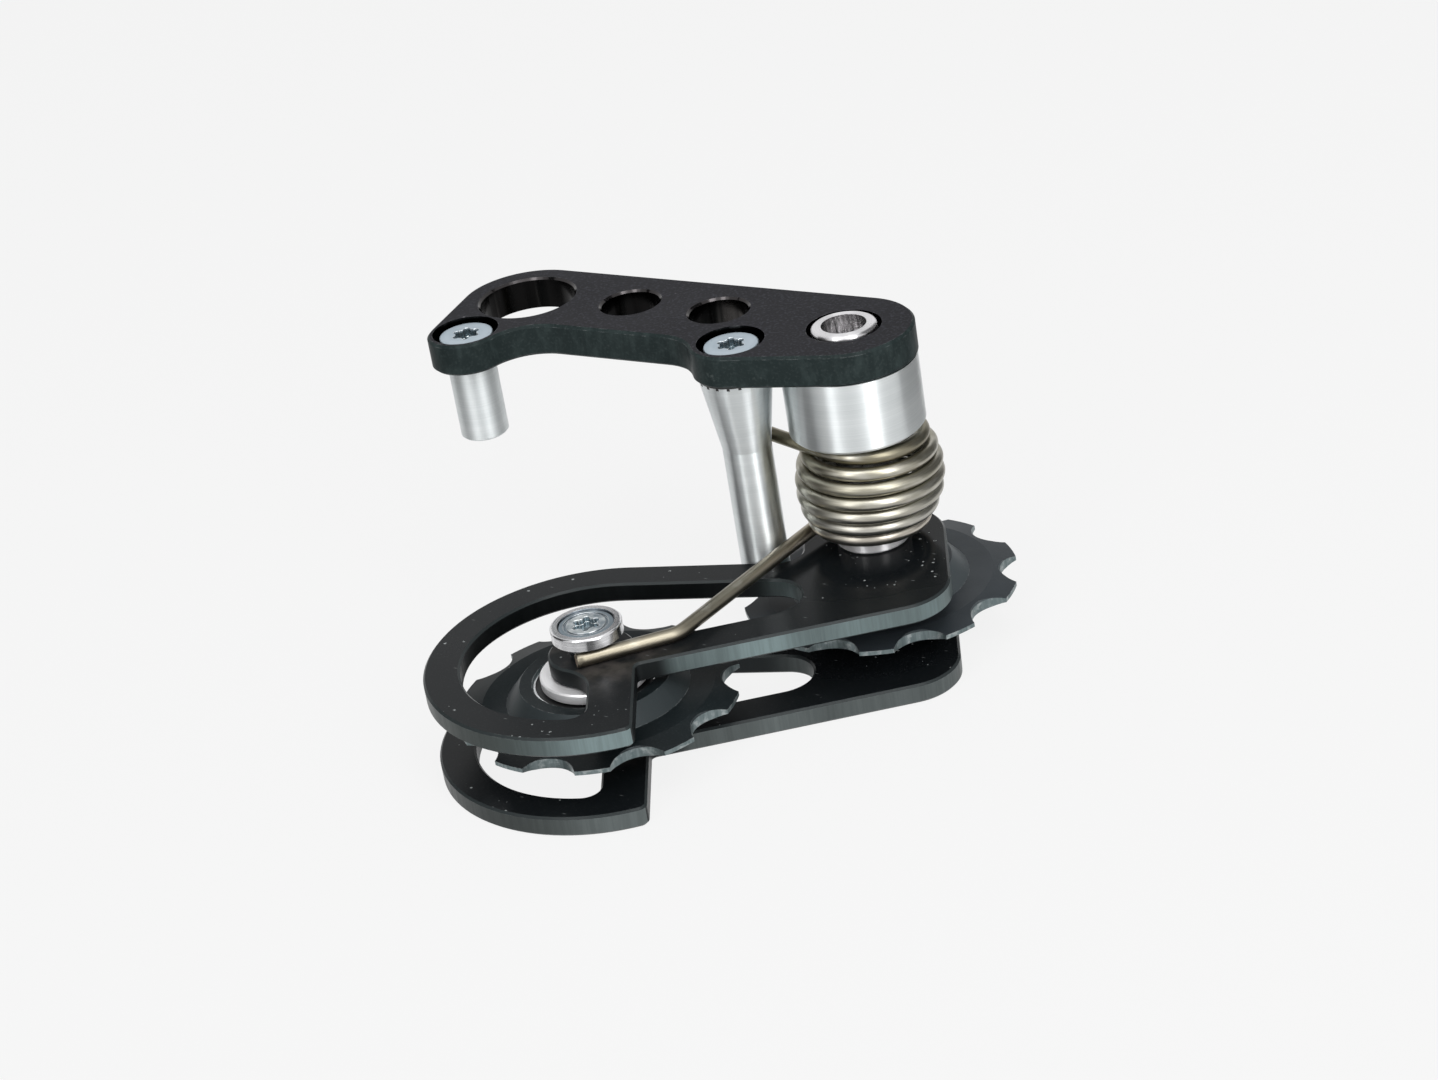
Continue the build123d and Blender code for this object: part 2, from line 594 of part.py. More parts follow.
# Pulleys and their bearings
for pulley, place, bore, phase in (
    ("idler", idler_at, idler_bore_radius, idler_phase),
    ("guide", pivot_at, guide_bore_radius, guide_phase),
):
    profile = Plane((*place, wheel_level), x_dir=(1, 0, 0), z_dir=(0, -1, 0))
    spindle = Axis((*place, wheel_level), (0, 0, 1))

    with BuildPart() as wheel:
        with BuildSketch(profile):
            with BuildLine():
                Polyline(
                    (bearing_radius, hub_width / 2),
                    (hub_top_radius - hub_edge_break, hub_width / 2),
                    (hub_top_radius, hub_width / 2 - hub_edge_break),
                    (hub_base_radius, wheel_thickness / 2),
                    (tooth_base_radius, wheel_thickness / 2),
                    (tooth_tip_radius, tooth_tip_thickness / 2),
                    (tooth_tip_radius, -tooth_tip_thickness / 2),
                    (tooth_base_radius, -wheel_thickness / 2),
                    (hub_base_radius, -wheel_thickness / 2),
                    (hub_top_radius, hub_edge_break - hub_width / 2),
                    (hub_top_radius - hub_edge_break, -hub_width / 2),
                    (bearing_radius, -hub_width / 2),
                    close=True,
                )
            make_face()
        revolve(axis=spindle)
        with Locations(Plane((*place, wheel_level))):
            with PolarLocations(pitch_radius, tooth_count, start_angle=phase + 180 / tooth_count):
                Cylinder(seat_radius, wheel_thickness, mode=Mode.SUBTRACT)
        with Locations(Plane((*place, wheel_level + wheel_thickness / 2))):
            with PolarLocations(pitch_radius, tooth_count, start_angle=phase + 180 / tooth_count):
                Cone(
                    seat_radius,
                    seat_radius + seat_bevel_width,
                    seat_bevel_depth,
                    align=(Align.CENTER, Align.CENTER, Align.MAX),
                    mode=Mode.SUBTRACT,
                )
        with Locations(Plane((*place, wheel_level - wheel_thickness / 2))):
            with PolarLocations(pitch_radius, tooth_count, start_angle=phase + 180 / tooth_count):
                Cone(
                    seat_radius + seat_bevel_width,
                    seat_radius,
                    seat_bevel_depth,
                    align=(Align.CENTER, Align.CENTER, Align.MIN),
                    mode=Mode.SUBTRACT,
                )
    wheel.part.label = f"{pulley}_wheel"
    export_step(wheel.part, f"parts/{pulley}_wheel.step")

    with BuildPart() as outer_ring:
        with BuildSketch(profile) as section:
            with Locations(((bearing_radius + outer_ring_bore_radius) / 2, 0)):
                Rectangle(bearing_radius - outer_ring_bore_radius, bearing_width)
            chamfer(section.vertices().group_by(Axis.X)[-1], bearing_edge_break)
            for end in (-bearing_width / 2, bearing_width / 2):
                with Locations((outer_ring_bore_radius, end)):
                    Rectangle(
                        2 * (seal_radius - outer_ring_bore_radius),
                        2 * (seal_below_face + seal_thickness),
                        mode=Mode.SUBTRACT,
                    )
            with Locations((ball_circle_radius, 0)):
                Circle(ball_radius + ball_gap, mode=Mode.SUBTRACT)
        revolve(axis=spindle)
    outer_ring.part.label = f"{pulley}_bearing_outer_ring"
    export_step(outer_ring.part, f"parts/{pulley}_bearing_outer_ring.step")

    with BuildPart() as inner_ring:
        with BuildSketch(profile) as section:
            with Locations(((inner_ring_radius + bore) / 2, 0)):
                Rectangle(inner_ring_radius - bore, bearing_width)
            chamfer(section.vertices(), bearing_edge_break)
            with Locations((ball_circle_radius, 0)):
                Circle(ball_radius + ball_gap, mode=Mode.SUBTRACT)
        revolve(axis=spindle)
    inner_ring.part.label = f"{pulley}_bearing_inner_ring"
    export_step(inner_ring.part, f"parts/{pulley}_bearing_inner_ring.step")

    with BuildPart() as balls:
        with Locations(Plane((*place, wheel_level))):
            with PolarLocations(ball_circle_radius, ball_count):
                Sphere(ball_radius)
    balls.part.label = f"{pulley}_bearing_balls"
    export_step(balls.part, f"parts/{pulley}_bearing_balls.step")

    for side, outward in (("upper", 1), ("lower", -1)):
        seal_face = wheel_level + outward * (bearing_width / 2 - seal_below_face)
        with BuildPart() as seal:
            with BuildSketch(Plane((*place, seal_face))):
                Circle(seal_radius)
                Circle(inner_ring_radius + seal_lip_gap, mode=Mode.SUBTRACT)
            extrude(amount=-outward * seal_thickness)
        seal.part.label = f"{pulley}_{side}_seal"
        export_step(seal.part, f"parts/{pulley}_{side}_seal.step")

        with BuildPart() as spacer:
            with BuildSketch(Plane((*place, wheel_level + outward * bearing_width / 2))):
                Circle(spacer_washer_radius)
                Circle(bore, mode=Mode.SUBTRACT)
            extrude(amount=outward * spacer_thickness)
            rims = spacer.edges().filter_by(GeomType.CIRCLE).sort_by(SortBy.RADIUS)
            chamfer(rims[-2:], spacer_edge_break)
        spacer.part.label = f"{pulley}_{side}_washer"
        export_step(spacer.part, f"parts/{pulley}_{side}_washer.step")

# Path of the torsion spring: a leg behind the pillar, a barrel coil that leans from the pivot axis
# at its upper end, and a leg round the spring post
coil_top = drum_bottom - spring_top_gap - spring_wire_radius
cone_slope = (pillar_top_radius - pillar_radius) / pillar_cone_height
cone_left = max(0, coil_top + spring_wire_radius + washer_thickness + pillar_cone_height)
anchor_reach = pillar_radius + cone_slope * cone_left + spring_wire_radius + spring_clearance
anchor_turn = crossing_tangent(coil_top_at, spring_top_radius, pillar_at, anchor_reach, 1)
anchor_start = polar(coil_top_at, spring_top_radius, anchor_turn)
anchor_run = sqrt(dist(coil_top_at, pillar_at) ** 2 - (spring_top_radius + anchor_reach) ** 2)
anchor_tip = polar(anchor_start, anchor_run + spring_anchor_overrun, anchor_turn - 90)

leg_level = upper_top + spring_wire_radius + spring_clearance
bend_at = from_cage(spring_bend_local)
post_reach = post_neck_radius + spring_wire_radius + spring_clearance
post_turn = outer_tangent(idler_at, post_reach, bend_at, 0, -1)
leg_tip = polar(polar(idler_at, post_reach, post_turn), spring_tip_past_post, post_turn - 90)
leg_turn = outer_tangent(pivot_at, spring_bottom_radius, bend_at, 0, -1)
leg_start = polar(pivot_at, spring_bottom_radius, leg_turn)

spring_pitch = 2 * spring_wire_radius + spring_turn_gap
part_turn = (leg_turn - anchor_turn) % 360 / 360
coil_turns = part_turn + floor((coil_top - leg_level) / spring_pitch - part_turn)
coil_steps = round(coil_turns * spring_points_per_turn)
coil_bottom = coil_top - spring_pitch * coil_turns


def coil_point(share):
    """Point on the coil's centre line at a share of its length from the top."""
    radius = (
        spring_top_radius * (1 - share) * (1 - 2 * share)
        + spring_middle_radius * 4 * share * (1 - share)
        + spring_bottom_radius * share * (2 * share - 1)
    )
    lean = 1 - share**2
    centre = (pivot_x + spring_lean[0] * lean, spring_lean[1] * lean)
    level = coil_top + share * (coil_bottom - coil_top)
    return (*polar(centre, radius, anchor_turn + share * coil_turns * 360), level)


# Torsion spring
with BuildPart() as torsion_spring:
    with BuildLine() as wire_path:
        anchor_leg = Line((*anchor_tip, coil_top), (*anchor_start, coil_top))
        post_leg = FilletPolyline(
            (*leg_start, coil_bottom), (*bend_at, leg_level), (*leg_tip, leg_level), radius=spring_bend_radius
        )
        Spline(
            *[coil_point(step / coil_steps) for step in range(coil_steps + 1)],
            tangents=(anchor_leg % 1, post_leg % 0),
            tangent_scalars=(1, 1),
        )
    with BuildSketch(Plane(anchor_leg @ 0, z_dir=anchor_leg % 0)):
        Circle(spring_wire_radius)
    sweep(path=wire_path.wire())
torsion_spring.part.label = "torsion_spring"
export_step(torsion_spring.part, "parts/torsion_spring.step")
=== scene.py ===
from math import acos, ceil, cos, pi, radians, sin, tan

import bpy
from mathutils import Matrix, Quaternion, Vector


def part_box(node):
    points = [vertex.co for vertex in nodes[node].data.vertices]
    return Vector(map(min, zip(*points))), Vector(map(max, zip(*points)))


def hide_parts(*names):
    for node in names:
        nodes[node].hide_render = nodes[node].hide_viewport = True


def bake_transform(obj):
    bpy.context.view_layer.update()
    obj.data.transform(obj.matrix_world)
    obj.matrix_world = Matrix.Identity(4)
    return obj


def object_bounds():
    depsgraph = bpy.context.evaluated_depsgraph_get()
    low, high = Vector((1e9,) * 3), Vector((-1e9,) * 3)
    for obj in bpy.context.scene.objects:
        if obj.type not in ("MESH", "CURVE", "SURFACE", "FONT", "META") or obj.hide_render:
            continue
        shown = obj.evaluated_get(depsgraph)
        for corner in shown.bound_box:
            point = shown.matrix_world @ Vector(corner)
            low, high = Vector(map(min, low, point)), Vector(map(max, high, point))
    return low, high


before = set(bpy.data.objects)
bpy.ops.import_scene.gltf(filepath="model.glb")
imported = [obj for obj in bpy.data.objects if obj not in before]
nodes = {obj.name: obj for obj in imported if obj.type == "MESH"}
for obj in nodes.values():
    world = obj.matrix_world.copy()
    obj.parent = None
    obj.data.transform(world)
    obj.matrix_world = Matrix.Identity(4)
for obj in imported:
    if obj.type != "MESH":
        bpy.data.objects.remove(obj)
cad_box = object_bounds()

scene = bpy.context.scene
MM = 0.001

# Places of the pieces, in metres
PIVOT = Vector((0.0502, 0, 0))
STUD = Vector((-0.0028, -0.0116, 0))
PILLAR = Vector((0.0369, -0.00715, 0))
IDLER = Vector((0.0272632, -0.0371379, 0))
AXLE_HOLE = Vector((0, 0, 0))
FIRST_PLAIN_HOLE = Vector((0.0162, 0.0013, 0))
SECOND_PLAIN_HOLE = Vector((0.0303, 0.0013, 0))
LOOP_MIDDLE = Vector((0.016, -0.037, 0))
TAB_CORNER = Vector((0.0427, -0.0522, 0))
FLOOR_LEVEL = cad_box[0].z

# Holes and pockets of the bracket, each with a radius in millimetres that takes in its wall and rim
BRACKET_HOLES = (
    (AXLE_HOLE, 7.05),
    (FIRST_PLAIN_HOLE, 4.45),
    (SECOND_PLAIN_HOLE, 4.45),
    (STUD, 4.7),
    (PILLAR, 4.7),
    (PIVOT, 5.15),
)

# Torsion spring's wire, in millimetres and degrees, a little thicker than its solid so the coils close up
WIRE_RADIUS = 0.97
WIRE_SIDES = 24
COIL_STEPS_PER_TURN = 80
COIL_TURNS = 6.774284
COIL_TOP = -11.2
COIL_BOTTOM = -24.7486
COIL_RADII = (7.2, 9.2, 6.7)
COIL_LEAN = (0.74, 0.42)
ANCHOR_TURN = -108.4727
ANCHOR_TIP = Vector((36.4063, -2.3159, COIL_TOP))
ANCHOR_STEPS = 12
LEG_START = Vector((43.5964, 1.1324, COIL_BOTTOM))
LEG_BEND = Vector((37.9205, -31.9665, -26.1))
LEG_TIP = Vector((28.1986, -41.9010, -26.1))
LEG_STEPS = 30
LEG_BEND_RADIUS = 4.0
LEG_BEND_STEPS = 16
LEG_TAIL_STEPS = 12
CUT_END_BREAK = 0.14


# Node helpers

def new_node(tree, kind, **settings):
    """Adds a node to a tree and sets its options."""
    made = tree.nodes.new(kind)
    for name, value in settings.items():
        setattr(made, name, value)
    return made


def feed(tree, value, socket):
    """Links a socket, or sets a plain value, on an input socket."""
    if isinstance(value, bpy.types.NodeSocket):
        tree.links.new(value, socket)
    else:
        socket.default_value = value


def calc(tree, operation, first, second=None, clamp=False):
    """Math node on one or two values."""
    made = new_node(tree, "ShaderNodeMath", operation=operation, use_clamp=clamp)
    feed(tree, first, made.inputs[0])
    if second is not None:
        feed(tree, second, made.inputs[1])
    return made.outputs[0]


def times(tree, first, second):
    """Product of two values."""
    return calc(tree, "MULTIPLY", first, second)


def either(tree, first, second):
    """Larger of two masks."""
    return calc(tree, "MAXIMUM", first, second)


def outside(tree, mask):
    """What a mask leaves out."""
    return calc(tree, "SUBTRACT", 1.0, mask)


def ramp(tree, value, low, high, out_low=0.0, out_high=1.0):
    """Smooth step of a value from one range to another."""
    made = new_node(tree, "ShaderNodeMapRange", interpolation_type="SMOOTHSTEP")
    feed(tree, value, made.inputs["Value"])
    feed(tree, low, made.inputs["From Min"])
    feed(tree, high, made.inputs["From Max"])
    feed(tree, out_low, made.inputs["To Min"])
    feed(tree, out_high, made.inputs["To Max"])
    return made.outputs["Result"]


def tint(tree, share, first, second):
    """Mix of two colours by a share from 0 to 1."""
    made = new_node(tree, "ShaderNodeMix", data_type="RGBA")
    feed(tree, share, made.inputs[0])
    feed(tree, first, made.inputs[6])
    feed(tree, second, made.inputs[7])
    return made.outputs[2]


def level(tree, share, first, second):
    """Mix of two values by a share from 0 to 1."""
    made = new_node(tree, "ShaderNodeMix", data_type="FLOAT")
    feed(tree, share, made.inputs[0])
    feed(tree, first, made.inputs[2])
    feed(tree, second, made.inputs[3])
    return made.outputs[0]


def place(tree):
    """Coordinates fixed to the piece, in metres."""
    return new_node(tree, "ShaderNodeTexCoord").outputs["Object"]


def split(tree, vector):
    """X, Y and Z of a vector."""
    made = new_node(tree, "ShaderNodeSeparateXYZ")
    feed(tree, vector, made.inputs[0])
    return made.outputs


def stretch(tree, vector, scale, turn=0.0):
    """Coordinates turned about Z and scaled."""
    made = new_node(tree, "ShaderNodeMapping")
    feed(tree, vector, made.inputs["Vector"])
    made.inputs["Scale"].default_value = scale
    made.inputs["Rotation"].default_value = (0, 0, turn)
    return made.outputs["Vector"]


def away_from(tree, axle):
    """Vector from a place on an upright axle to the surface."""
    made = new_node(tree, "ShaderNodeVectorMath", operation="SUBTRACT")
    feed(tree, place(tree), made.inputs[0])
    feed(tree, axle, made.inputs[1])
    return made.outputs[0]


def distance_off(tree, away):
    """Level distance from an upright axle, given the vector away from it."""
    flat = new_node(tree, "ShaderNodeVectorMath", operation="MULTIPLY")
    feed(tree, away, flat.inputs[0])
    flat.inputs[1].default_value = (1, 1, 0)
    length = new_node(tree, "ShaderNodeVectorMath", operation="LENGTH")
    feed(tree, flat.outputs[0], length.inputs[0])
    return length.outputs["Value"]


def noise(tree, vector, scale, detail=2.0, roughness=0.5):
    """Noise from 0 to 1 at a number of waves per metre."""
    made = new_node(tree, "ShaderNodeTexNoise")
    feed(tree, vector, made.inputs["Vector"])
    feed(tree, scale, made.inputs["Scale"])
    made.inputs["Detail"].default_value = detail
    made.inputs["Roughness"].default_value = roughness
    return made.outputs["Fac"]


def cells(tree, vector, per_metre):
    """Random cells seen from above: distance from each cell's point, and its three random numbers."""
    made = new_node(tree, "ShaderNodeTexVoronoi", feature="F1", voronoi_dimensions="2D")
    feed(tree, vector, made.inputs["Vector"])
    feed(tree, per_metre, made.inputs["Scale"])
    pick = new_node(tree, "ShaderNodeSeparateColor")
    feed(tree, made.outputs["Color"], pick.inputs[0])
    return made.outputs["Distance"], pick.outputs


def open_group(name, inputs, outputs):
    """Starts a shader node group with named sockets; returns the tree and its ends."""
    tree = bpy.data.node_groups.new(name, "ShaderNodeTree")
    for label, kind, start in inputs:
        socket = tree.interface.new_socket(label, in_out="INPUT", socket_type=kind)
        socket.default_value = start
    for label, kind in outputs:
        tree.interface.new_socket(label, in_out="OUTPUT", socket_type=kind)
    entry = tree.nodes.new("NodeGroupInput")
    leave = tree.nodes.new("NodeGroupOutput")
    return tree, entry.outputs, leave.inputs


def use(tree, group, **values):
    """Places a group in a material with its own values; spaces in socket names are underscores."""
    made = new_node(tree, "ShaderNodeGroup", node_tree=group)
    for name, value in values.items():
        feed(tree, value, made.inputs[name.replace("_", " ")])
    return made.outputs


# Shared effects

FLOAT = "NodeSocketFloat"
VECTOR = "NodeSocketVector"


def face_kinds_group():
    """Sorts a surface into flat faces, bevels and upright walls by its own slope."""
    tree, _, leave = open_group("face kinds", [], [("Flat", FLOAT), ("Bevel", FLOAT), ("Wall", FLOAT)])
    facing = new_node(tree, "ShaderNodeNewGeometry").outputs["True Normal"]
    upright = calc(tree, "ABSOLUTE", split(tree, facing)["Z"])
    flat = ramp(tree, upright, 0.86, 0.97)
    wall = ramp(tree, upright, 0.25, 0.45, 1.0, 0.0)
    bevel = calc(tree, "SUBTRACT", 1.0, calc(tree, "ADD", flat, wall), clamp=True)
    feed(tree, flat, leave["Flat"])
    feed(tree, bevel, leave["Bevel"])
    feed(tree, wall, leave["Wall"])
    return tree


def anodised_grain_group():
    """Fine grain of a blasted and anodised face, with broad clouds of tone."""
    tree, entry, leave = open_group(
        "anodised grain",
        [("Grains per metre", FLOAT, 5000.0), ("Clouds per metre", FLOAT, 60.0)],
        [("Grain", FLOAT), ("Clouds", FLOAT)],
    )
    spot = place(tree)
    feed(tree, noise(tree, spot, entry["Grains per metre"], 1.0), leave["Grain"])
    feed(tree, noise(tree, spot, entry["Clouds per metre"], 3.0, 0.6), leave["Clouds"])
    return tree


def dust_specks_group():
    """Small pale dust specks on flat faces, one in each chosen cell, thicker where the patches lie."""
    tree, entry, leave = open_group(
        "dust specks",
        [("Cells per metre", FLOAT, 700.0), ("Share", FLOAT, 0.1), ("Size", FLOAT, 0.12)],
        [("Specks", FLOAT)],
    )
    spot = place(tree)
    distance, pick = cells(tree, spot, entry["Cells per metre"])
    patches = ramp(tree, noise(tree, spot, 150.0), 0.5, 0.6)
    chosen = calc(tree, "LESS_THAN", pick["Red"], times(tree, entry["Share"], patches))
    spread = calc(tree, "POWER", pick["Green"], 2.5)
    edge = times(tree, entry["Size"], calc(tree, "ADD", 0.3, times(tree, spread, 1.4)))
    dot = ramp(tree, distance, times(tree, edge, 0.6), edge, 1.0, 0.0)
    broken = ramp(tree, noise(tree, spot, 3200.0, 1.0), 0.36, 0.52)
    feed(tree, times(tree, times(tree, dot, broken), chosen), leave["Specks"])
    return tree


def hair_scratches_group():
    """Short fine scratches that lie in two directions on a flat face."""
    tree, entry, leave = open_group(
        "hair scratches",
        [("Cells per metre", FLOAT, 260.0), ("Share", FLOAT, 0.15), ("Size", FLOAT, 0.1)],
        [("Scratches", FLOAT)],
    )
    spot = place(tree)
    scratches = 0.0
    for turn in (0.5, 1.9):
        lie = stretch(tree, spot, (0.9, 5.0, 1.0), turn)
        distance, pick = cells(tree, lie, entry["Cells per metre"])
        chosen = calc(tree, "LESS_THAN", pick["Blue"], entry["Share"])
        line = ramp(tree, distance, 0.0, entry["Size"], 1.0, 0.0)
        scratches = either(tree, scratches, times(tree, line, chosen))
    feed(tree, scratches, leave["Scratches"])
    return tree


def cut_marks_group():
    """Upright streaks that cutting leaves on the wall of a plate, with broad changes along it."""
    tree, entry, leave = open_group(
        "cut marks",
        [("Streaks per metre", FLOAT, 2600.0)],
        [("Streaks", FLOAT), ("Stretches", FLOAT)],
    )
    spot = place(tree)
    streaks = noise(tree, stretch(tree, spot, (1, 1, 0.06)), entry["Streaks per metre"], 3.0, 0.65)
    stretches = noise(tree, stretch(tree, spot, (1, 1, 0.1)), 90.0)
    feed(tree, ramp(tree, streaks, 0.3, 0.7), leave["Streaks"])
    feed(tree, ramp(tree, stretches, 0.35, 0.65), leave["Stretches"])
    return tree


def turning_lines_group():
    """Fine lathe lines round an upright axle: rings up a wall and circles on an end face."""
    tree, entry, leave = open_group(
        "turning lines",
        [("Axle", VECTOR, (0, 0, 0)), ("Lines per metre", FLOAT, 5500.0)],
        [("Lines", FLOAT), ("Bands", FLOAT), ("Smears", FLOAT)],
    )
    away = away_from(tree, entry["Axle"])
    along = new_node(tree, "ShaderNodeCombineXYZ")
    feed(tree, calc(tree, "ADD", distance_off(tree, away), split(tree, away)["Z"]), along.inputs["X"])
    feed(tree, noise(tree, along.outputs[0], entry["Lines per metre"], 2.0, 0.7), leave["Lines"])
    feed(tree, noise(tree, along.outputs[0], 420.0), leave["Bands"])
    feed(tree, noise(tree, stretch(tree, away, (1, 1, 3.0)), 240.0, 4.0, 0.6), leave["Smears"])
    return tree


def rubbed_edges_group():
    """Mask of the sharp edges, broken into rubbed lengths."""
    tree, entry, leave = open_group(
        "rubbed edges",
        [("Width", FLOAT, 0.0002), ("Broken", FLOAT, 0.5)],
        [("Rubbed", FLOAT)],
    )
    rounded = new_node(tree, "ShaderNodeBevel", samples=6)
    feed(tree, entry["Width"], rounded.inputs["Radius"])
    same = new_node(tree, "ShaderNodeVectorMath", operation="DOT_PRODUCT")
    feed(tree, rounded.outputs[0], same.inputs[0])
    feed(tree, new_node(tree, "ShaderNodeNewGeometry").outputs["Normal"], same.inputs[1])
    edge = ramp(tree, same.outputs["Value"], 0.9, 0.995, 1.0, 0.0)
    wear = noise(tree, place(tree), 900.0, 3.0, 0.6)
    worn = ramp(tree, wear, entry["Broken"], calc(tree, "ADD", entry["Broken"], 0.12))
    feed(tree, times(tree, edge, worn), leave["Rubbed"])
    return tree


def near_axle_group():
    """Mask of what lies within a radius of an upright axle, hard, or faded out from a core share of it."""
    tree, entry, leave = open_group(
        "near an axle",
        [("Axle", VECTOR, (0, 0, 0)), ("Radius", FLOAT, 0.004), ("Core", FLOAT, 0.4)],
        [("Near", FLOAT), ("Fade", FLOAT)],
    )
    distance = distance_off(tree, away_from(tree, entry["Axle"]))
    core = times(tree, entry["Radius"], entry["Core"])
    feed(tree, calc(tree, "LESS_THAN", distance, entry["Radius"]), leave["Near"])
    feed(tree, ramp(tree, distance, core, entry["Radius"], 1.0, 0.0), leave["Fade"])
    return tree


def inner_walls_group():
    """Mask of the walls that look away from an upright axle by less than a reach, such as a slot's."""
    tree, entry, leave = open_group(
        "inner walls", [("Axle", VECTOR, (0, 0, 0)), ("Reach", FLOAT, 0.007)], [("Inner", FLOAT)]
    )
    outward = new_node(tree, "ShaderNodeVectorMath", operation="DOT_PRODUCT")
    feed(tree, away_from(tree, entry["Axle"]), outward.inputs[0])
    feed(tree, new_node(tree, "ShaderNodeTexCoord").outputs["Normal"], outward.inputs[1])
    feed(tree, calc(tree, "LESS_THAN", outward.outputs["Value"], entry["Reach"]), leave["Inner"])
    return tree


FACE_KINDS = face_kinds_group()
ANODISED_GRAIN = anodised_grain_group()
DUST_SPECKS = dust_specks_group()
HAIR_SCRATCHES = hair_scratches_group()
CUT_MARKS = cut_marks_group()
TURNING_LINES = turning_lines_group()
RUBBED_EDGES = rubbed_edges_group()
NEAR_AXLE = near_axle_group()
INNER_WALLS = inner_walls_group()


# Finishes

def open_finish(name, **sockets):
    """Starts a material with one Principled shader; plain values go on the shader's own sockets."""
    material = bpy.data.materials.new(name)
    material.use_nodes = True
    tree = material.node_tree
    tree.nodes.clear()
    shader = tree.nodes.new("ShaderNodeBsdfPrincipled")
    output = tree.nodes.new("ShaderNodeOutputMaterial")
    tree.links.new(shader.outputs[0], output.inputs["Surface"])
    for label, value in sockets.items():
        shader.inputs[label.replace("_", " ")].default_value = value
    return material, tree, shader.inputs


def bump(tree, shader, height, strength, distance, rounding=0.0):
    """Feeds the shader's normal from a height, over edges rounded by a radius."""
    made = new_node(tree, "ShaderNodeBump")
    if rounding:
        rounded = new_node(tree, "ShaderNodeBevel", samples=6)
        rounded.inputs["Radius"].default_value = rounding
        feed(tree, rounded.outputs[0], made.inputs["Normal"])
    made.inputs["Strength"].default_value = strength
    made.inputs["Distance"].default_value = distance
    feed(tree, height, made.inputs["Height"])
    feed(tree, made.outputs[0], shader["Normal"])


def shaded(share, colour):
    """Darker shade of a colour."""
    return tuple(share * part for part in colour[:3]) + (1,)


def bracket_black():
    """Satin black of the mounting plate: grained top, green-grey wall, glossy holes with bright rims and
    painted highlight streaks down their walls.
    """
    face_dark = (0.0055, 0.0056, 0.0078, 1)
    face_pale = (0.0095, 0.0095, 0.0128, 1)
    face_grain = (0.034, 0.035, 0.045, 1)
    dust = (0.12, 0.12, 0.13, 1)
    wall_dark = (0.010, 0.0155, 0.0157, 1)
    wall_pale = (0.018, 0.026, 0.0262, 1)
    wall_mottle = (0.034, 0.047, 0.0465, 1)
    wall_grain = (0.045, 0.058, 0.058, 1)
    wall_scuff = (0.10, 0.115, 0.113, 1)
    bare_edge = (0.22, 0.23, 0.235, 1)
    bore_dark = (0.009, 0.0088, 0.0088, 1)
    bore_highlight_streak = (0.055, 0.052, 0.05, 1)
    bore_rim = (0.045, 0.042, 0.043, 1)
    material, tree, shader = open_finish("black anodised bracket", Specular_IOR_Level=0.05)
    kinds = use(tree, FACE_KINDS)
    grain = use(tree, ANODISED_GRAIN, Grains_per_metre=2500.0, Clouds_per_metre=70.0)
    specks = use(tree, DUST_SPECKS, Cells_per_metre=520.0, Share=0.12, Size=0.07)
    edges = use(tree, RUBBED_EDGES, Width=0.0002, Broken=0.5)
    marks = use(tree, CUT_MARKS, Streaks_per_metre=300.0)
    holes = 0.0
    for axle, radius in BRACKET_HOLES:
        holes = either(tree, holes, use(tree, NEAR_AXLE, Axle=axle, Radius=radius * MM)["Near"])
    bore = times(tree, holes, outside(tree, kinds["Flat"]))
    rim = times(tree, bore, kinds["Bevel"])
    face = tint(tree, grain["Clouds"], face_dark, face_pale)
    face = tint(tree, ramp(tree, grain["Grain"], 0.48, 0.74, 0.0, 0.55), face, face_grain)
    face = tint(tree, specks["Specks"], face, dust)
    wall = tint(tree, grain["Clouds"], wall_dark, wall_pale)
    mottle = noise(tree, stretch(tree, place(tree), (1, 1, 0.5)), 620.0, 3.0, 0.6)
    wall = tint(tree, ramp(tree, mottle, 0.42, 0.7, 0.0, 0.45), wall, wall_mottle)
    wall = tint(tree, ramp(tree, grain["Grain"], 0.5, 0.76, 0.0, 0.25), wall, wall_grain)
    scuffs = noise(tree, place(tree), 330.0, 4.0, 0.65)
    wall = tint(tree, ramp(tree, scuffs, 0.66, 0.78, 0.0, 0.55), wall, wall_scuff)
    colour = tint(tree, kinds["Flat"], wall, face)
    colour = tint(tree, times(tree, edges["Rubbed"], 0.45), colour, bare_edge)
    # Lining of the holes: dark glossy wall with pale upright streaks, which are a painted highlight.
    lining_and_highlights = tint(tree, ramp(tree, marks["Streaks"], 0.55, 1.0), bore_dark, bore_highlight_streak)
    colour = tint(tree, bore, colour, lining_and_highlights)
    colour = tint(tree, rim, colour, bore_rim)
    feed(tree, colour, shader["Base Color"])
    feed(tree, bore, shader["Metallic"])
    rough = level(tree, grain["Clouds"], 0.46, 0.36)
    rough = level(tree, bore, rough, 0.2)
    feed(tree, level(tree, rim, rough, 0.12), shader["Roughness"])
    height = times(tree, grain["Grain"], outside(tree, bore))
    bump(tree, shader, height, strength=0.16, distance=0.00006)
    return material


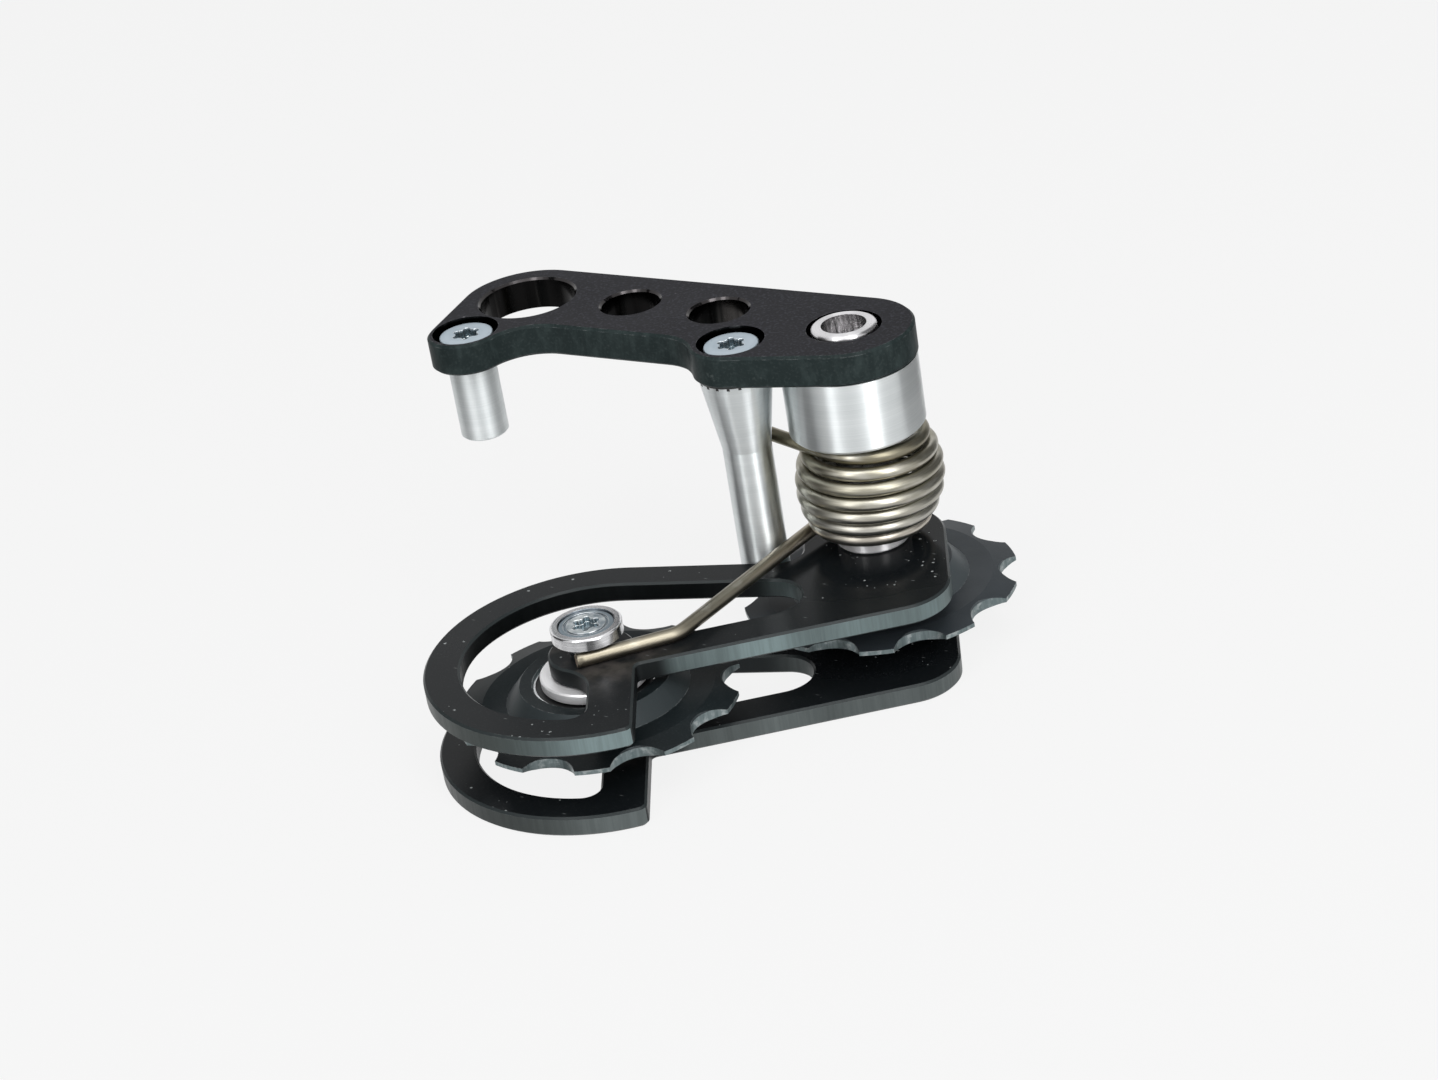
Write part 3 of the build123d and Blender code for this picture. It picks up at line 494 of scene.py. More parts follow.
def cage_black(name, worn_wall, dull_wall):
    """Satin black of a cage plate: dusty face, streaked cut walls, duller round the loop, painted shade on
    the walls inside it.
    """
    face_dark = (0.0032, 0.0042, 0.005, 1)
    face_pale = (0.0075, 0.0092, 0.0105, 1)
    face_grain = (0.03, 0.032, 0.034, 1)
    face_smear = (0.06, 0.054, 0.05, 1)
    dust = (0.29, 0.31, 0.31, 1)
    dust_share = 0.55
    inner_wall_shade = (0.022, 0.025, 0.026, 1)
    bevel = (0.028, 0.034, 0.035, 1)
    bare_edge = (0.3, 0.33, 0.33, 1)
    material, tree, shader = open_finish(name, Specular_IOR_Level=0.1)
    kinds = use(tree, FACE_KINDS)
    grain = use(tree, ANODISED_GRAIN, Grains_per_metre=4200.0, Clouds_per_metre=55.0)
    marks = use(tree, CUT_MARKS, Streaks_per_metre=1500.0)
    near_pivot = use(tree, NEAR_AXLE, Axle=PIVOT, Radius=0.024)["Fade"]
    dusty = level(tree, near_pivot, 0.4 * dust_share, dust_share)
    specks = use(tree, DUST_SPECKS, Cells_per_metre=900.0, Share=dusty, Size=0.15)
    scratches = use(tree, HAIR_SCRATCHES, Cells_per_metre=230.0, Share=0.05, Size=0.09)
    edges = use(tree, RUBBED_EDGES, Width=0.00022, Broken=0.48)

    # Walls inside the loop, on the tab's side and round the idler end get painted shade, and no rubbed
    # edges.
    inner = use(tree, INNER_WALLS, Axle=LOOP_MIDDLE, Reach=-0.004)["Inner"]
    pivot_end = use(tree, NEAR_AXLE, Axle=PIVOT, Radius=0.019, Core=0.65)["Fade"]
    inner = level(tree, pivot_end, inner, 0.0)
    tab_side = use(tree, INNER_WALLS, Axle=PIVOT, Reach=-0.004)["Inner"]
    idler_end = use(tree, NEAR_AXLE, Axle=IDLER, Radius=0.0125, Core=0.8)["Fade"]
    inner = either(tree, inner, either(tree, tab_side, idler_end))

    face = tint(tree, grain["Clouds"], face_dark, face_pale)
    face = tint(tree, ramp(tree, grain["Grain"], 0.58, 0.78, 0.0, 0.4), face, face_grain)
    smear = ramp(tree, noise(tree, place(tree), 240.0, 4.0, 0.6), 0.36, 0.66, 0.0, 0.7)
    smear = times(tree, smear, use(tree, NEAR_AXLE, Axle=IDLER, Radius=0.015)["Fade"])
    face = tint(tree, smear, face, face_smear)
    pale = either(tree, specks["Specks"], times(tree, scratches["Scratches"], 0.5))
    pale = times(tree, pale, kinds["Flat"])
    face = tint(tree, pale, face, dust)

    rail = use(tree, INNER_WALLS, Axle=IDLER, Reach=0.0145)["Inner"]
    loop = use(tree, NEAR_AXLE, Axle=LOOP_MIDDLE, Radius=0.034, Core=0.7)["Fade"]
    loop = times(tree, loop, outside(tree, rail))
    corner = use(tree, NEAR_AXLE, Axle=TAB_CORNER, Radius=0.012)["Fade"]
    dull = either(tree, times(tree, marks["Stretches"], 0.5), loop)
    dull = level(tree, corner, dull, 0.0)
    wall = tint(tree, dull, worn_wall, dull_wall)
    wall = tint(tree, ramp(tree, marks["Streaks"], 0.0, 1.0, 0.2, 0.0), wall, shaded(0.6, dull_wall))
    # Painted shade on the inner walls.
    wall = tint(tree, inner, wall, inner_wall_shade)

    colour = tint(tree, kinds["Wall"], face, wall)
    colour = tint(tree, times(tree, kinds["Bevel"], 0.8), colour, bevel)
    rubbed = level(tree, inner, times(tree, edges["Rubbed"], 0.28), 0.0)
    colour = tint(tree, rubbed, colour, bare_edge)
    feed(tree, colour, shader["Base Color"])
    feed(tree, times(tree, kinds["Wall"], 0.9), shader["Metallic"])
    rough = level(tree, grain["Clouds"], 0.34, 0.24)
    rough = level(tree, use(tree, NEAR_AXLE, Axle=PIVOT, Radius=0.02)["Fade"], rough, 0.13)
    rough = level(tree, pale, rough, 0.6)
    wall_rough = level(tree, marks["Streaks"], 0.46, 0.38)
    feed(tree, level(tree, kinds["Wall"], rough, wall_rough), shader["Roughness"])
    face_height = times(tree, grain["Grain"], 0.4)
    wall_height = times(tree, marks["Streaks"], 0.5)
    height = level(tree, kinds["Wall"], face_height, wall_height)
    bump(tree, shader, height, strength=0.12, distance=0.00006)
    return material


def wheel_grey(name, dark, pale, bevel):
    """Dark blue-grey satin of a pulley, with pale worn walls in its valleys and a given tone on bevels; the
    face and bevel tones set per pulley paint light and shade on it.
    """
    face_grain = (0.036, 0.041, 0.045, 1)
    dust = (0.2, 0.21, 0.21, 1)
    wall_dark = (0.12, 0.155, 0.16, 1)
    wall_pale = (0.2, 0.24, 0.245, 1)
    wall_worn = (0.46, 0.5, 0.5, 1)
    bare_edge = (0.3, 0.32, 0.32, 1)
    material, tree, shader = open_finish(name, Specular_IOR_Level=0.12)
    kinds = use(tree, FACE_KINDS)
    grain = use(tree, ANODISED_GRAIN, Grains_per_metre=4500.0, Clouds_per_metre=110.0)
    specks = use(tree, DUST_SPECKS, Cells_per_metre=600.0, Share=0.12, Size=0.06)
    edges = use(tree, RUBBED_EDGES, Width=0.00022, Broken=0.45)
    marks = use(tree, CUT_MARKS, Streaks_per_metre=1500.0)
    face = tint(tree, grain["Clouds"], dark, pale)
    face = tint(tree, ramp(tree, grain["Grain"], 0.52, 0.8, 0.0, 0.3), face, face_grain)
    face = tint(tree, specks["Specks"], face, dust)
    wall = tint(tree, marks["Streaks"], wall_dark, wall_pale)
    worn = noise(tree, place(tree), 900.0, 3.0, 0.6)
    wall = tint(tree, ramp(tree, worn, 0.5, 0.7, 0.0, 0.6), wall, wall_worn)
    colour = tint(tree, kinds["Wall"], face, wall)
    colour = tint(tree, times(tree, kinds["Bevel"], 0.9), colour, bevel)
    colour = tint(tree, times(tree, edges["Rubbed"], 0.4), colour, bare_edge)
    feed(tree, colour, shader["Base Color"])
    metal = calc(tree, "ADD", times(tree, kinds["Wall"], 0.85), times(tree, kinds["Bevel"], 0.2))
    feed(tree, metal, shader["Metallic"])
    feed(tree, level(tree, grain["Clouds"], 0.44, 0.34), shader["Roughness"])
    bump(tree, shader, grain["Grain"], strength=0.12, distance=0.00006)
    return material


def turned_metal(name, axle, pale, dark, rough, grooves, lean, metal=1.0, hollow=0.0):
    """Lathe-turned bare metal round an axle: sheen drawn out across the lathe lines, glossy in a hollow."""
    bare_edge = (0.92, 0.92, 0.92, 1)
    hollow_wall = (0.84, 0.83, 0.835, 1)
    material, tree, shader = open_finish(name, Metallic=metal, Anisotropic=lean, Anisotropic_Rotation=0.25)
    turned = use(tree, TURNING_LINES, Axle=axle, Lines_per_metre=5200.0)
    edges = use(tree, RUBBED_EDGES, Width=0.00016, Broken=0.35)
    share = calc(tree, "ADD", times(tree, turned["Lines"], 0.55), times(tree, turned["Bands"], 0.45))
    colour = tint(tree, ramp(tree, share, 0.3, 0.7), dark, pale)
    colour = tint(tree, ramp(tree, turned["Smears"], 0.6, 0.8, 0.0, 0.06), colour, shaded(0.72, dark))
    colour = tint(tree, times(tree, edges["Rubbed"], 0.5), colour, bare_edge)
    sheen = level(tree, ramp(tree, turned["Smears"], 0.35, 0.7), rough - 0.02, rough + 0.02)
    if hollow:
        depth = outside(tree, use(tree, FACE_KINDS)["Flat"])
        depth = times(tree, depth, use(tree, NEAR_AXLE, Axle=axle, Radius=hollow)["Near"])
        colour = tint(tree, depth, colour, hollow_wall)
        sheen = level(tree, depth, sheen, 0.15)
    feed(tree, colour, shader["Base Color"])
    feed(tree, sheen, shader["Roughness"])
    bump(tree, shader, turned["Lines"], strength=grooves, distance=0.00003)
    tangent = new_node(tree, "ShaderNodeTangent", direction_type="RADIAL", axis="Z")
    feed(tree, tangent.outputs[0], shader["Tangent"])
    return material


def zinc_plate(name, axle, rings, head_top, shade=1.0, worn=0.0):
    """Blue-grey zinc of a screw head, with painted shade in the recess below its top, and bright rubbed
    edges that also stand as painted glints.
    """
    pale = shaded(shade, (0.53, 0.60, 0.66))
    dark = shaded(shade, (0.38, 0.46, 0.52))
    ring = (0.13, 0.19, 0.23, 1)
    worn_and_glinting_middle = (0.8, 0.84, 0.84, 1)
    recess = (0.21, 0.26, 0.285, 1)
    bare_edge = (0.92, 0.94, 0.94, 1)
    material, tree, shader = open_finish(name, Metallic=0.85)
    turned = use(tree, TURNING_LINES, Axle=axle, Lines_per_metre=4200.0)
    grain = use(tree, ANODISED_GRAIN, Grains_per_metre=6500.0, Clouds_per_metre=300.0)
    edges = use(tree, RUBBED_EDGES, Width=0.00014, Broken=0.35)
    colour = tint(tree, grain["Clouds"], dark, pale)
    colour = tint(tree, ramp(tree, grain["Grain"], 0.55, 0.8, 0.0, 0.35), colour, dark)
    colour = tint(tree, ramp(tree, turned["Bands"], 0.42, 0.6, rings, 0.0), colour, ring)
    # Pale ring round the recess: wear, together with painted glints.
    middle = times(tree, use(tree, NEAR_AXLE, Axle=axle, Radius=0.0026)["Near"], worn)
    middle = times(tree, middle, ramp(tree, grain["Clouds"], 0.35, 0.6))
    colour = tint(tree, middle, colour, worn_and_glinting_middle)
    # Painted shade: everything more than 0.3 mm below the head's top is darkened.
    shaded_pit = calc(tree, "LESS_THAN", split(tree, place(tree))["Z"], head_top - 0.3 * MM)
    colour = tint(tree, shaded_pit, colour, recess)
    # Rubbed edges: wear, made strong enough to act as painted glints.
    colour = tint(tree, times(tree, edges["Rubbed"], 0.85), colour, bare_edge)
    feed(tree, colour, shader["Base Color"])
    rough = level(tree, grain["Clouds"], 0.44, 0.32)
    feed(tree, level(tree, shaded_pit, rough, 0.16), shader["Roughness"])
    relief = calc(tree, "ADD", turned["Lines"], grain["Grain"])
    bump(tree, shader, relief, strength=0.12, distance=0.00004, rounding=0.00022)
    return material


def blackened_steel():
    """Dull blackened steel of the serrated washer, rubbed bright on its teeth."""
    dark = (0.012, 0.012, 0.012, 1)
    pale = (0.03, 0.03, 0.03, 1)
    bare_edge = (0.2, 0.2, 0.2, 1)
    material, tree, shader = open_finish("blackened washer", Specular_IOR_Level=0.4)
    grain = use(tree, ANODISED_GRAIN, Grains_per_metre=5000.0, Clouds_per_metre=400.0)
    edges = use(tree, RUBBED_EDGES, Width=0.00016, Broken=0.5)
    colour = tint(tree, grain["Clouds"], dark, pale)
    colour = tint(tree, times(tree, edges["Rubbed"], 0.4), colour, bare_edge)
    feed(tree, colour, shader["Base Color"])
    feed(tree, level(tree, grain["Grain"], 0.5, 0.35), shader["Roughness"])
    bump(tree, shader, grain["Grain"], strength=0.2, distance=0.00005)
    return material


def seal_rubber():
    """Matte black rubber of the bearing seals."""
    dark = (0.008, 0.008, 0.008, 1)
    pale = (0.018, 0.018, 0.019, 1)
    material, tree, shader = open_finish("bearing seal rubber", Specular_IOR_Level=0.35)
    grain = use(tree, ANODISED_GRAIN, Grains_per_metre=5500.0, Clouds_per_metre=300.0)
    feed(tree, tint(tree, grain["Clouds"], dark, pale), shader["Base Color"])
    feed(tree, level(tree, grain["Clouds"], 0.6, 0.45), shader["Roughness"])
    bump(tree, shader, grain["Grain"], strength=0.2, distance=0.00005)
    return material


def spring_wire(wire_length):
    """Drawn spring wire: dark olive at the top, silvery lower down, bronze where the leg leaves the coil."""
    stops = (
        (0.0, (0.22, 0.20, 0.14, 1)),
        (0.16, (0.345, 0.33, 0.265, 1)),
        (0.50, (0.435, 0.425, 0.37, 1)),
        (0.78, (0.54, 0.535, 0.495, 1)),
        (0.87, (0.52, 0.455, 0.375, 1)),
        (0.94, (0.26, 0.245, 0.2, 1)),
        (1.0, (0.265, 0.24, 0.19, 1)),
    )
    dark_streak = (0.16, 0.14, 0.095, 1)
    bare_patch = (0.8, 0.79, 0.74, 1)
    material, tree, shader = open_finish("drawn spring wire", Metallic=1.0)
    run = new_node(tree, "ShaderNodeTexCoord").outputs["UV"]
    streaks = noise(tree, stretch(tree, run, (45.0, 3200.0, 1.0)), 1.0, 3.0, 0.6)
    patches = noise(tree, stretch(tree, run, (130.0, 260.0, 1.0)), 1.0, 3.0, 0.6)
    fine = noise(tree, stretch(tree, run, (600.0, 5200.0, 1.0)), 1.0)
    tones = new_node(tree, "ShaderNodeValToRGB")
    first, last = tones.color_ramp.elements
    first.position, first.color = stops[0]
    last.position, last.color = stops[-1]
    for position, colour in stops[1:-1]:
        tones.color_ramp.elements.new(position).color = colour
    feed(tree, calc(tree, "DIVIDE", split(tree, run)["X"], wire_length), tones.inputs["Fac"])
    colour = tint(tree, ramp(tree, streaks, 0.35, 0.7, 0.4, 0.0), tones.outputs["Color"], dark_streak)
    colour = tint(tree, ramp(tree, patches, 0.5, 0.75, 0.0, 0.4), colour, bare_patch)
    feed(tree, colour, shader["Base Color"])
    feed(tree, level(tree, ramp(tree, patches, 0.3, 0.7), 0.38, 0.30), shader["Roughness"])
    relief = calc(tree, "ADD", streaks, times(tree, fine, 0.5))
    bump(tree, shader, relief, strength=0.07, distance=0.00004)
    return material


def cut_wire_face():
    """Pale sheared face at the ends of the spring's wire."""
    dark = (0.55, 0.42, 0.30, 1)
    pale = (0.85, 0.74, 0.6, 1)
    material, tree, shader = open_finish("sheared wire end", Metallic=1.0)
    grain = use(tree, ANODISED_GRAIN, Grains_per_metre=4000.0, Clouds_per_metre=900.0)
    feed(tree, tint(tree, grain["Clouds"], dark, pale), shader["Base Color"])
    feed(tree, level(tree, grain["Grain"], 0.5, 0.35), shader["Roughness"])
    bump(tree, shader, grain["Grain"], strength=0.3, distance=0.00005)
    return material


def dress(finish, *names):
    """Gives a finish to pieces by name."""
    for name in names:
        mesh = nodes[name].data
        mesh.materials.clear()
        mesh.materials.append(finish)


ALUMINIUM_PALE = (0.76, 0.79, 0.795, 1)
ALUMINIUM_DARK = (0.65, 0.685, 0.69, 1)
WASHER_PALE = (0.92, 0.92, 0.93, 1)
STEEL_PALE = (0.82, 0.81, 0.82, 1)
STEEL_DARK = (0.58, 0.58, 0.6, 1)

dress(bracket_black(), "mount_plate")
dress(
    cage_black(
        "black upper cage plate",
        worn_wall=(0.215, 0.28, 0.285, 1), dull_wall=(0.06, 0.07, 0.068, 1),
    ),
    "upper_cage_plate",
)
# The lower plate's wall tones are darker than the upper plate's: painted shade.
dress(
    cage_black(
        "black lower cage plate with painted shade on walls",
        worn_wall=(0.135, 0.155, 0.155, 1), dull_wall=(0.055, 0.062, 0.061, 1),
    ),
    "lower_cage_plate",
)
# The idler's face and bevel tones are darker: painted shade.
dress(
    wheel_grey(
        "idler wheel in painted shade",
        dark=(0.0042, 0.0068, 0.0078, 1), pale=(0.0095, 0.0138, 0.0155, 1), bevel=(0.036, 0.044, 0.047, 1),
    ),
    "idler_wheel",
)
# The guide's face and bevel tones are paler: painted light.
dress(
    wheel_grey(
        "blue-grey guide wheel in painted light",
        dark=(0.018, 0.0228, 0.027, 1), pale=(0.037, 0.0445, 0.051, 1), bevel=(0.07, 0.083, 0.089, 1),
    ),
    "guide_wheel",
)
dress(blackened_steel(), "serrated_washer")
dress(seal_rubber(), "idler_upper_seal", "idler_lower_seal", "guide_upper_seal", "guide_lower_seal")
for piece, axle, rough, lean in (
    ("short_stud", STUD, 0.55, 0.65),
    ("long_pillar", PILLAR, 0.4, 0.92),
    ("spring_drum", PIVOT, 0.4, 0.92),
):
    dress(
        turned_metal(
            f"turned aluminium {piece}", axle, ALUMINIUM_PALE, ALUMINIUM_DARK,
            rough=rough, grooves=0.03, lean=lean,
        ),
        piece,
    )
for pulley, axle in (("idler", IDLER), ("guide", PIVOT)):
    dress(
        turned_metal(
            f"faced aluminium {pulley}", axle, WASHER_PALE, STEEL_PALE,
            rough=0.42, grooves=0.05, lean=0.3, metal=0.6,
        ),
        f"{pulley}_upper_washer", f"{pulley}_lower_washer",
    )
    dress(
        turned_metal(
            f"bearing steel {pulley}", axle, STEEL_PALE, STEEL_DARK,
            rough=0.18, grooves=0.04, lean=0.3,
        ),
        f"{pulley}_bearing_outer_ring", f"{pulley}_bearing_inner_ring", f"{pulley}_bearing_balls",
    )
dress(
    turned_metal(
        "bright pivot steel", PIVOT, STEEL_PALE, STEEL_DARK,
        rough=0.28, grooves=0.03, lean=0.93, hollow=0.0032,
    ),
    "pivot_bolt",
)
dress(
    turned_metal(
        "pale pivot sleeve", PIVOT, WASHER_PALE, STEEL_PALE,
        rough=0.4, grooves=0.03, lean=0.92, metal=0.65,
    ),
    "pivot_sleeve",
)
dress(
    turned_metal(
        "bright idler sleeve", IDLER, STEEL_PALE, STEEL_DARK,
        rough=0.23, grooves=0.04, lean=0.3,
    ),
    "idler_sleeve",
)
dress(
    turned_metal(
        "bright spring post", IDLER, WASHER_PALE, STEEL_DARK,
        rough=0.24, grooves=0.02, lean=0.65,
    ),
    "spring_post",
)
for screw, axle, rings, shade, worn in (
    ("short_stud_screw", STUD, 0.1, 1.0, 0.0),
    ("long_pillar_screw", PILLAR, 0.1, 1.0, 0.0),
    ("idler_bolt", IDLER, 0.3, 0.62, 0.8),
):
    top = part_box(screw)[1].z
    dress(zinc_plate(f"zinc {screw}", axle, rings, top, shade, worn), screw)
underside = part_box("pivot_end_screw")[0].z
dress(zinc_plate("zinc pivot end screw", PIVOT, 0.1, underside), "pivot_end_screw")


# Torsion spring

def coil_point(share):
    """Point on the barrel coil's centre line at a share of its length, in millimetres."""
    top, middle, bottom = COIL_RADII
    radius = (
        top * (1 - share) * (1 - 2 * share)
        + middle * 4 * share * (1 - share)
        + bottom * share * (2 * share - 1)
    )
    turn = radians(ANCHOR_TURN + share * COIL_TURNS * 360)
    height = COIL_TOP + share * (COIL_BOTTOM - COIL_TOP)
    lean = 1 - share**2
    centre = Vector((PIVOT.x / MM + COIL_LEAN[0] * lean, COIL_LEAN[1] * lean, height))
    return centre + Vector((radius * cos(turn), radius * sin(turn), 0))


def wire_line():
    """Centre line of the wire from the tip behind the pillar to the tip past the spring post."""
    steps = ceil(COIL_TURNS * COIL_STEPS_PER_TURN)
    coil = [coil_point(step / steps) for step in range(steps + 1)]
    anchor = [ANCHOR_TIP.lerp(coil[0], step / ANCHOR_STEPS) for step in range(ANCHOR_STEPS)]
    arrive = (LEG_BEND - LEG_START).normalized()
    leave = (LEG_TIP - LEG_BEND).normalized()
    setback = LEG_BEND_RADIUS * tan(acos(arrive.dot(leave)) / 2)
    first = LEG_BEND - arrive * setback
    last = LEG_BEND + leave * setback
    leg = [LEG_START.lerp(first, step / LEG_STEPS) for step in range(1, LEG_STEPS)]
    bend = []
    for step in range(LEG_BEND_STEPS + 1):
        share = step / LEG_BEND_STEPS
        bend.append(first.lerp(LEG_BEND, share).lerp(LEG_BEND.lerp(last, share), share))
    tail = [last.lerp(LEG_TIP, step / LEG_TAIL_STEPS) for step in range(1, LEG_TAIL_STEPS + 1)]
    return [point * MM for point in anchor + coil + leg + bend + tail]


def wire_rings(line):
    """Rings along the wire: middle, two directions across, radius and run, with broken edges at the ends."""
    radius = WIRE_RADIUS * MM
    broken = CUT_END_BREAK * MM
    tangents = []
    for step in range(len(line)):
        before = line[max(step - 1, 0)]
        after = line[min(step + 1, len(line) - 1)]
        tangents.append((after - before).normalized())
    side = tangents[0].cross(Vector((0, 0, 1))).normalized()
    rings = []
    run = 0.0
    for step, point in enumerate(line):
        if step:
            side = tangents[step - 1].rotation_difference(tangents[step]) @ side
            side = (side - tangents[step] * side.dot(tangents[step])).normalized()
            run += (point - line[step - 1]).length
        rings.append((point, side.copy(), tangents[step].cross(side), radius, run))
    start = rings[0]
    end = rings[-1]
    rings[0] = (start[0] + tangents[0] * broken, *start[1:])
    rings[-1] = (end[0] - tangents[-1] * broken, *end[1:])
    rings.insert(0, (*start[:3], radius - broken, start[4]))
    rings.append((*end[:3], radius - broken, end[4]))
    return rings


def wire_mesh(name, rings):
    """Round wire skinned over its rings, with flat cut ends; its UV map is in metres along and around."""
    points = []
    for point, across, up, reach, _ in rings:
        for corner in range(WIRE_SIDES):
            turn = 2 * pi * corner / WIRE_SIDES
            points.append(point + (across * cos(turn) + up * sin(turn)) * reach)
    faces = []
    runs = []
    girth = 2 * pi * WIRE_RADIUS * MM
    for ring in range(len(rings) - 1):
        low = ring * WIRE_SIDES
        high = low + WIRE_SIDES
        near = rings[ring][4]
        far = rings[ring + 1][4]
        for corner in range(WIRE_SIDES):
            following = (corner + 1) % WIRE_SIDES
            faces.append((low + corner, low + following, high + following, high + corner))
            this_side = girth * corner / WIRE_SIDES
            next_side = girth * (corner + 1) / WIRE_SIDES
            runs += [(near, this_side), (near, next_side), (far, next_side), (far, this_side)]
    tube_faces = len(faces)
    last = (len(rings) - 1) * WIRE_SIDES
    faces.append(tuple(reversed(range(WIRE_SIDES))))
    faces.append(tuple(last + corner for corner in range(WIRE_SIDES)))
    runs += [(0, 0)] * WIRE_SIDES + [(rings[-1][4], 0)] * WIRE_SIDES
    mesh = bpy.data.meshes.new(name)
    mesh.from_pydata(points, [], faces)
    layer = mesh.uv_layers.new(name="wire run")
    for loop, place_on_wire in zip(layer.data, runs):
        loop.uv = place_on_wire
    for index, face in enumerate(mesh.polygons):
        face.use_smooth = index < tube_faces
        face.material_index = 0 if index < tube_faces else 1
    return mesh


spring_rings = wire_rings(wire_line())
wound_mesh = wire_mesh("wound_spring", spring_rings)
wound_mesh.materials.append(spring_wire(spring_rings[-1][4]))
wound_mesh.materials.append(cut_wire_face())
wound_spring = bpy.data.objects.new("wound_spring", wound_mesh)
scene.collection.objects.link(wound_spring)
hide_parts("torsion_spring")
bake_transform(wound_spring)


# Studio

BACKDROP = (0.915, 0.915, 0.915, 1)
FLOOR_TONE = (0.9, 0.9, 0.9, 1)
FLOOR_SIDE = 6.0
FLOOR_BACKDROP_SHARE = 0.94
SOFT_LIGHT = 0.4
OBJECT_MIDDLE = Vector((0.03, -0.02, -0.02))
CAMERA_PLACE = (0.2452137, -0.3255796, 0.1697192)
VIEW_TURN = 34.07
VIEW_HEIGHT = 27.03
VIEW_ROLL = -9.57
VIEW_LENS = 78.584
SENSOR_WIDTH = 36.0


def backdrop_share(tree, share):
    """Share of the plain backdrop colour, for rays from the camera and mirrored or refracted ones."""
    rays = new_node(tree, "ShaderNodeLightPath").outputs
    seen = either(tree, rays["Is Camera Ray"], rays["Is Glossy Ray"])
    seen = either(tree, seen, rays["Is Transmission Ray"])
    return times(tree, seen, share)


def mix_shaders(tree, share, first, second, output):
    """Mixes two shaders by a share and feeds the tree's output."""
    both = new_node(tree, "ShaderNodeMixShader")
    feed(tree, share, both.inputs[0])
    tree.links.new(first.outputs[0], both.inputs[1])
    tree.links.new(second.outputs[0], both.inputs[2])
    tree.links.new(both.outputs[0], tree.nodes.new(output).inputs["Surface"])


def rectangle(name, width, tall, height=0.0):
    """Flat rectangular mesh at a height, centred on its object's origin."""
    corners = ((-1, -1), (1, -1), (1, 1), (-1, 1))
    mesh = bpy.data.meshes.new(name)
    mesh.from_pydata([(x * width / 2, y * tall / 2, height) for x, y in corners], [], [(0, 1, 2, 3)])
    return mesh


def pale_floor():
    """Plain pale floor that keeps a faint shadow."""
    material = bpy.data.materials.new("pale floor")
    material.use_nodes = True
    tree = material.node_tree
    tree.nodes.clear()
    matte = new_node(tree, "ShaderNodeBsdfDiffuse")
    matte.inputs["Color"].default_value = FLOOR_TONE
    plain = new_node(tree, "ShaderNodeEmission")
    plain.inputs["Color"].default_value = BACKDROP
    plain.inputs["Strength"].default_value = 1.0
    share = backdrop_share(tree, FLOOR_BACKDROP_SHARE)
    mix_shaders(tree, share, matte, plain, "ShaderNodeOutputMaterial")
    mesh = rectangle("studio_floor", FLOOR_SIDE, FLOOR_SIDE, FLOOR_LEVEL)
    mesh.materials.append(material)
    floor = bpy.data.objects.new("studio_floor", mesh)
    scene.collection.objects.link(floor)


def pale_world():
    """World with the same pale backdrop, and a plain level of light from all round."""
    world = bpy.data.worlds.new("pale studio")
    world.use_nodes = True
    tree = world.node_tree
    tree.nodes.clear()
    soft = new_node(tree, "ShaderNodeBackground")
    soft.inputs["Color"].default_value = (1, 1, 1, 1)
    soft.inputs["Strength"].default_value = SOFT_LIGHT
    plain = new_node(tree, "ShaderNodeBackground")
    plain.inputs["Color"].default_value = BACKDROP
    plain.inputs["Strength"].default_value = 1.0
    mix_shaders(tree, backdrop_share(tree, 1.0), soft, plain, "ShaderNodeOutputWorld")
    scene.world = world


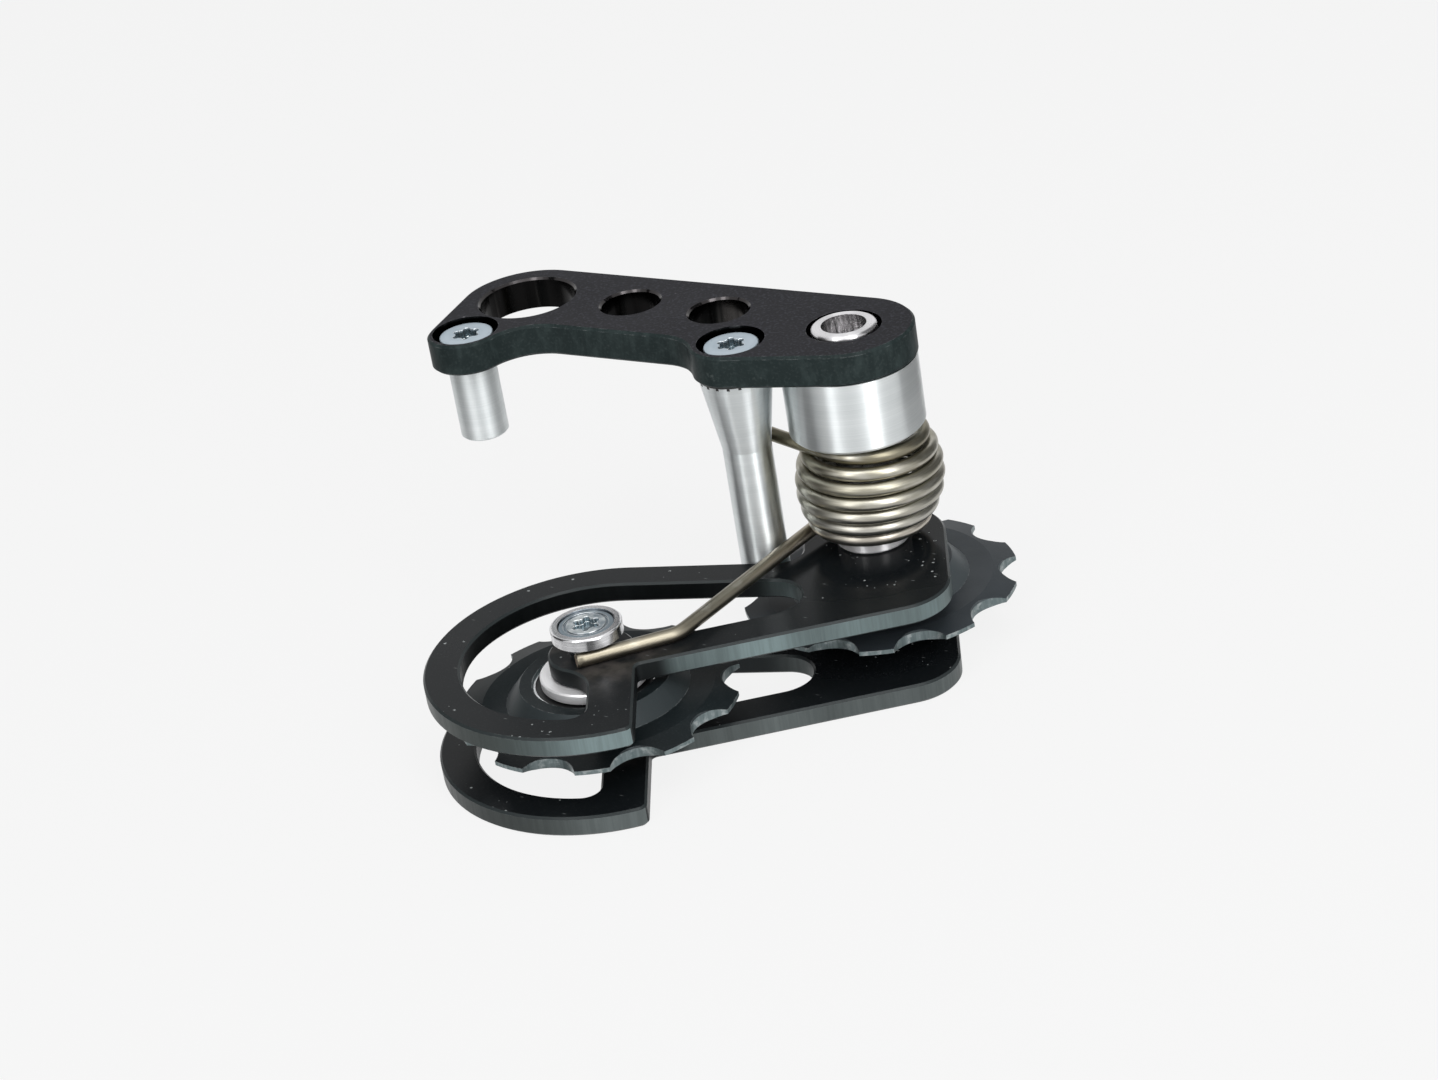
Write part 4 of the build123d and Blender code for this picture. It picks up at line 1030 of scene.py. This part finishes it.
def aim(piece, turn, height, away):
    """Puts a lamp or a card at a turn from the front, a height angle and a distance, facing the object."""
    flat = away * cos(radians(height))
    offset = (flat * sin(radians(turn)), -flat * cos(radians(turn)), away * sin(radians(height)))
    piece.location = OBJECT_MIDDLE + Vector(offset)
    piece.rotation_mode = "QUATERNION"
    piece.rotation_quaternion = (OBJECT_MIDDLE - piece.location).to_track_quat("-Z", "Y")
    piece.visible_camera = False
    scene.collection.objects.link(piece)


def softbox(name, turn, height, away, width, tall, watts):
    """Soft rectangular lamp that looks at the object."""
    lamp = bpy.data.lights.new(name, "AREA")
    lamp.shape = "RECTANGLE"
    lamp.size = width
    lamp.size_y = tall
    lamp.energy = watts
    aim(bpy.data.objects.new(name, lamp), turn, height, away)


def flag(name, turn, height, away, width, tall, shade):
    """Dark card out of the camera's sight, which metal mirrors as it does in a studio."""
    material, _, _ = open_finish(name, Base_Color=(shade, shade, shade, 1), Roughness=0.9)
    mesh = rectangle(name, width, tall)
    mesh.materials.append(material)
    card = bpy.data.objects.new(name, mesh)
    aim(card, turn, height, away)
    card.visible_diffuse = False
    card.visible_shadow = False


def photo_camera():
    """Camera at the photograph's viewing angle."""
    data = bpy.data.cameras.new("photo_camera")
    data.sensor_fit = "HORIZONTAL"
    data.sensor_width = SENSOR_WIDTH
    data.lens = VIEW_LENS
    data.clip_start = 0.01
    camera = bpy.data.objects.new("photo_camera", data)
    camera.location = CAMERA_PLACE
    turn = radians(VIEW_TURN)
    height = radians(VIEW_HEIGHT)
    back = Vector((sin(turn) * cos(height), -cos(turn) * cos(height), sin(height)))
    look = (-back).to_track_quat("-Z", "Y")
    camera.rotation_mode = "QUATERNION"
    camera.rotation_quaternion = look @ Quaternion((0, 0, 1), radians(VIEW_ROLL))
    scene.collection.objects.link(camera)
    scene.camera = camera


pale_floor()
pale_world()
softbox("overhead_softbox", turn=20, height=78, away=0.9, width=0.8, tall=0.8, watts=2.0)
softbox("left_softbox", turn=-5, height=36, away=0.6, width=0.13, tall=0.8, watts=1.4)
softbox("right_softbox", turn=61, height=36, away=0.6, width=0.2, tall=0.8, watts=2.7)
flag("left_flag", turn=-58, height=18, away=0.1, width=0.08, tall=0.16, shade=0.06)
flag("right_flag", turn=138, height=18, away=0.1, width=0.09, tall=0.16, shade=0.2)
photo_camera()

scene.view_settings.view_transform = "Standard"
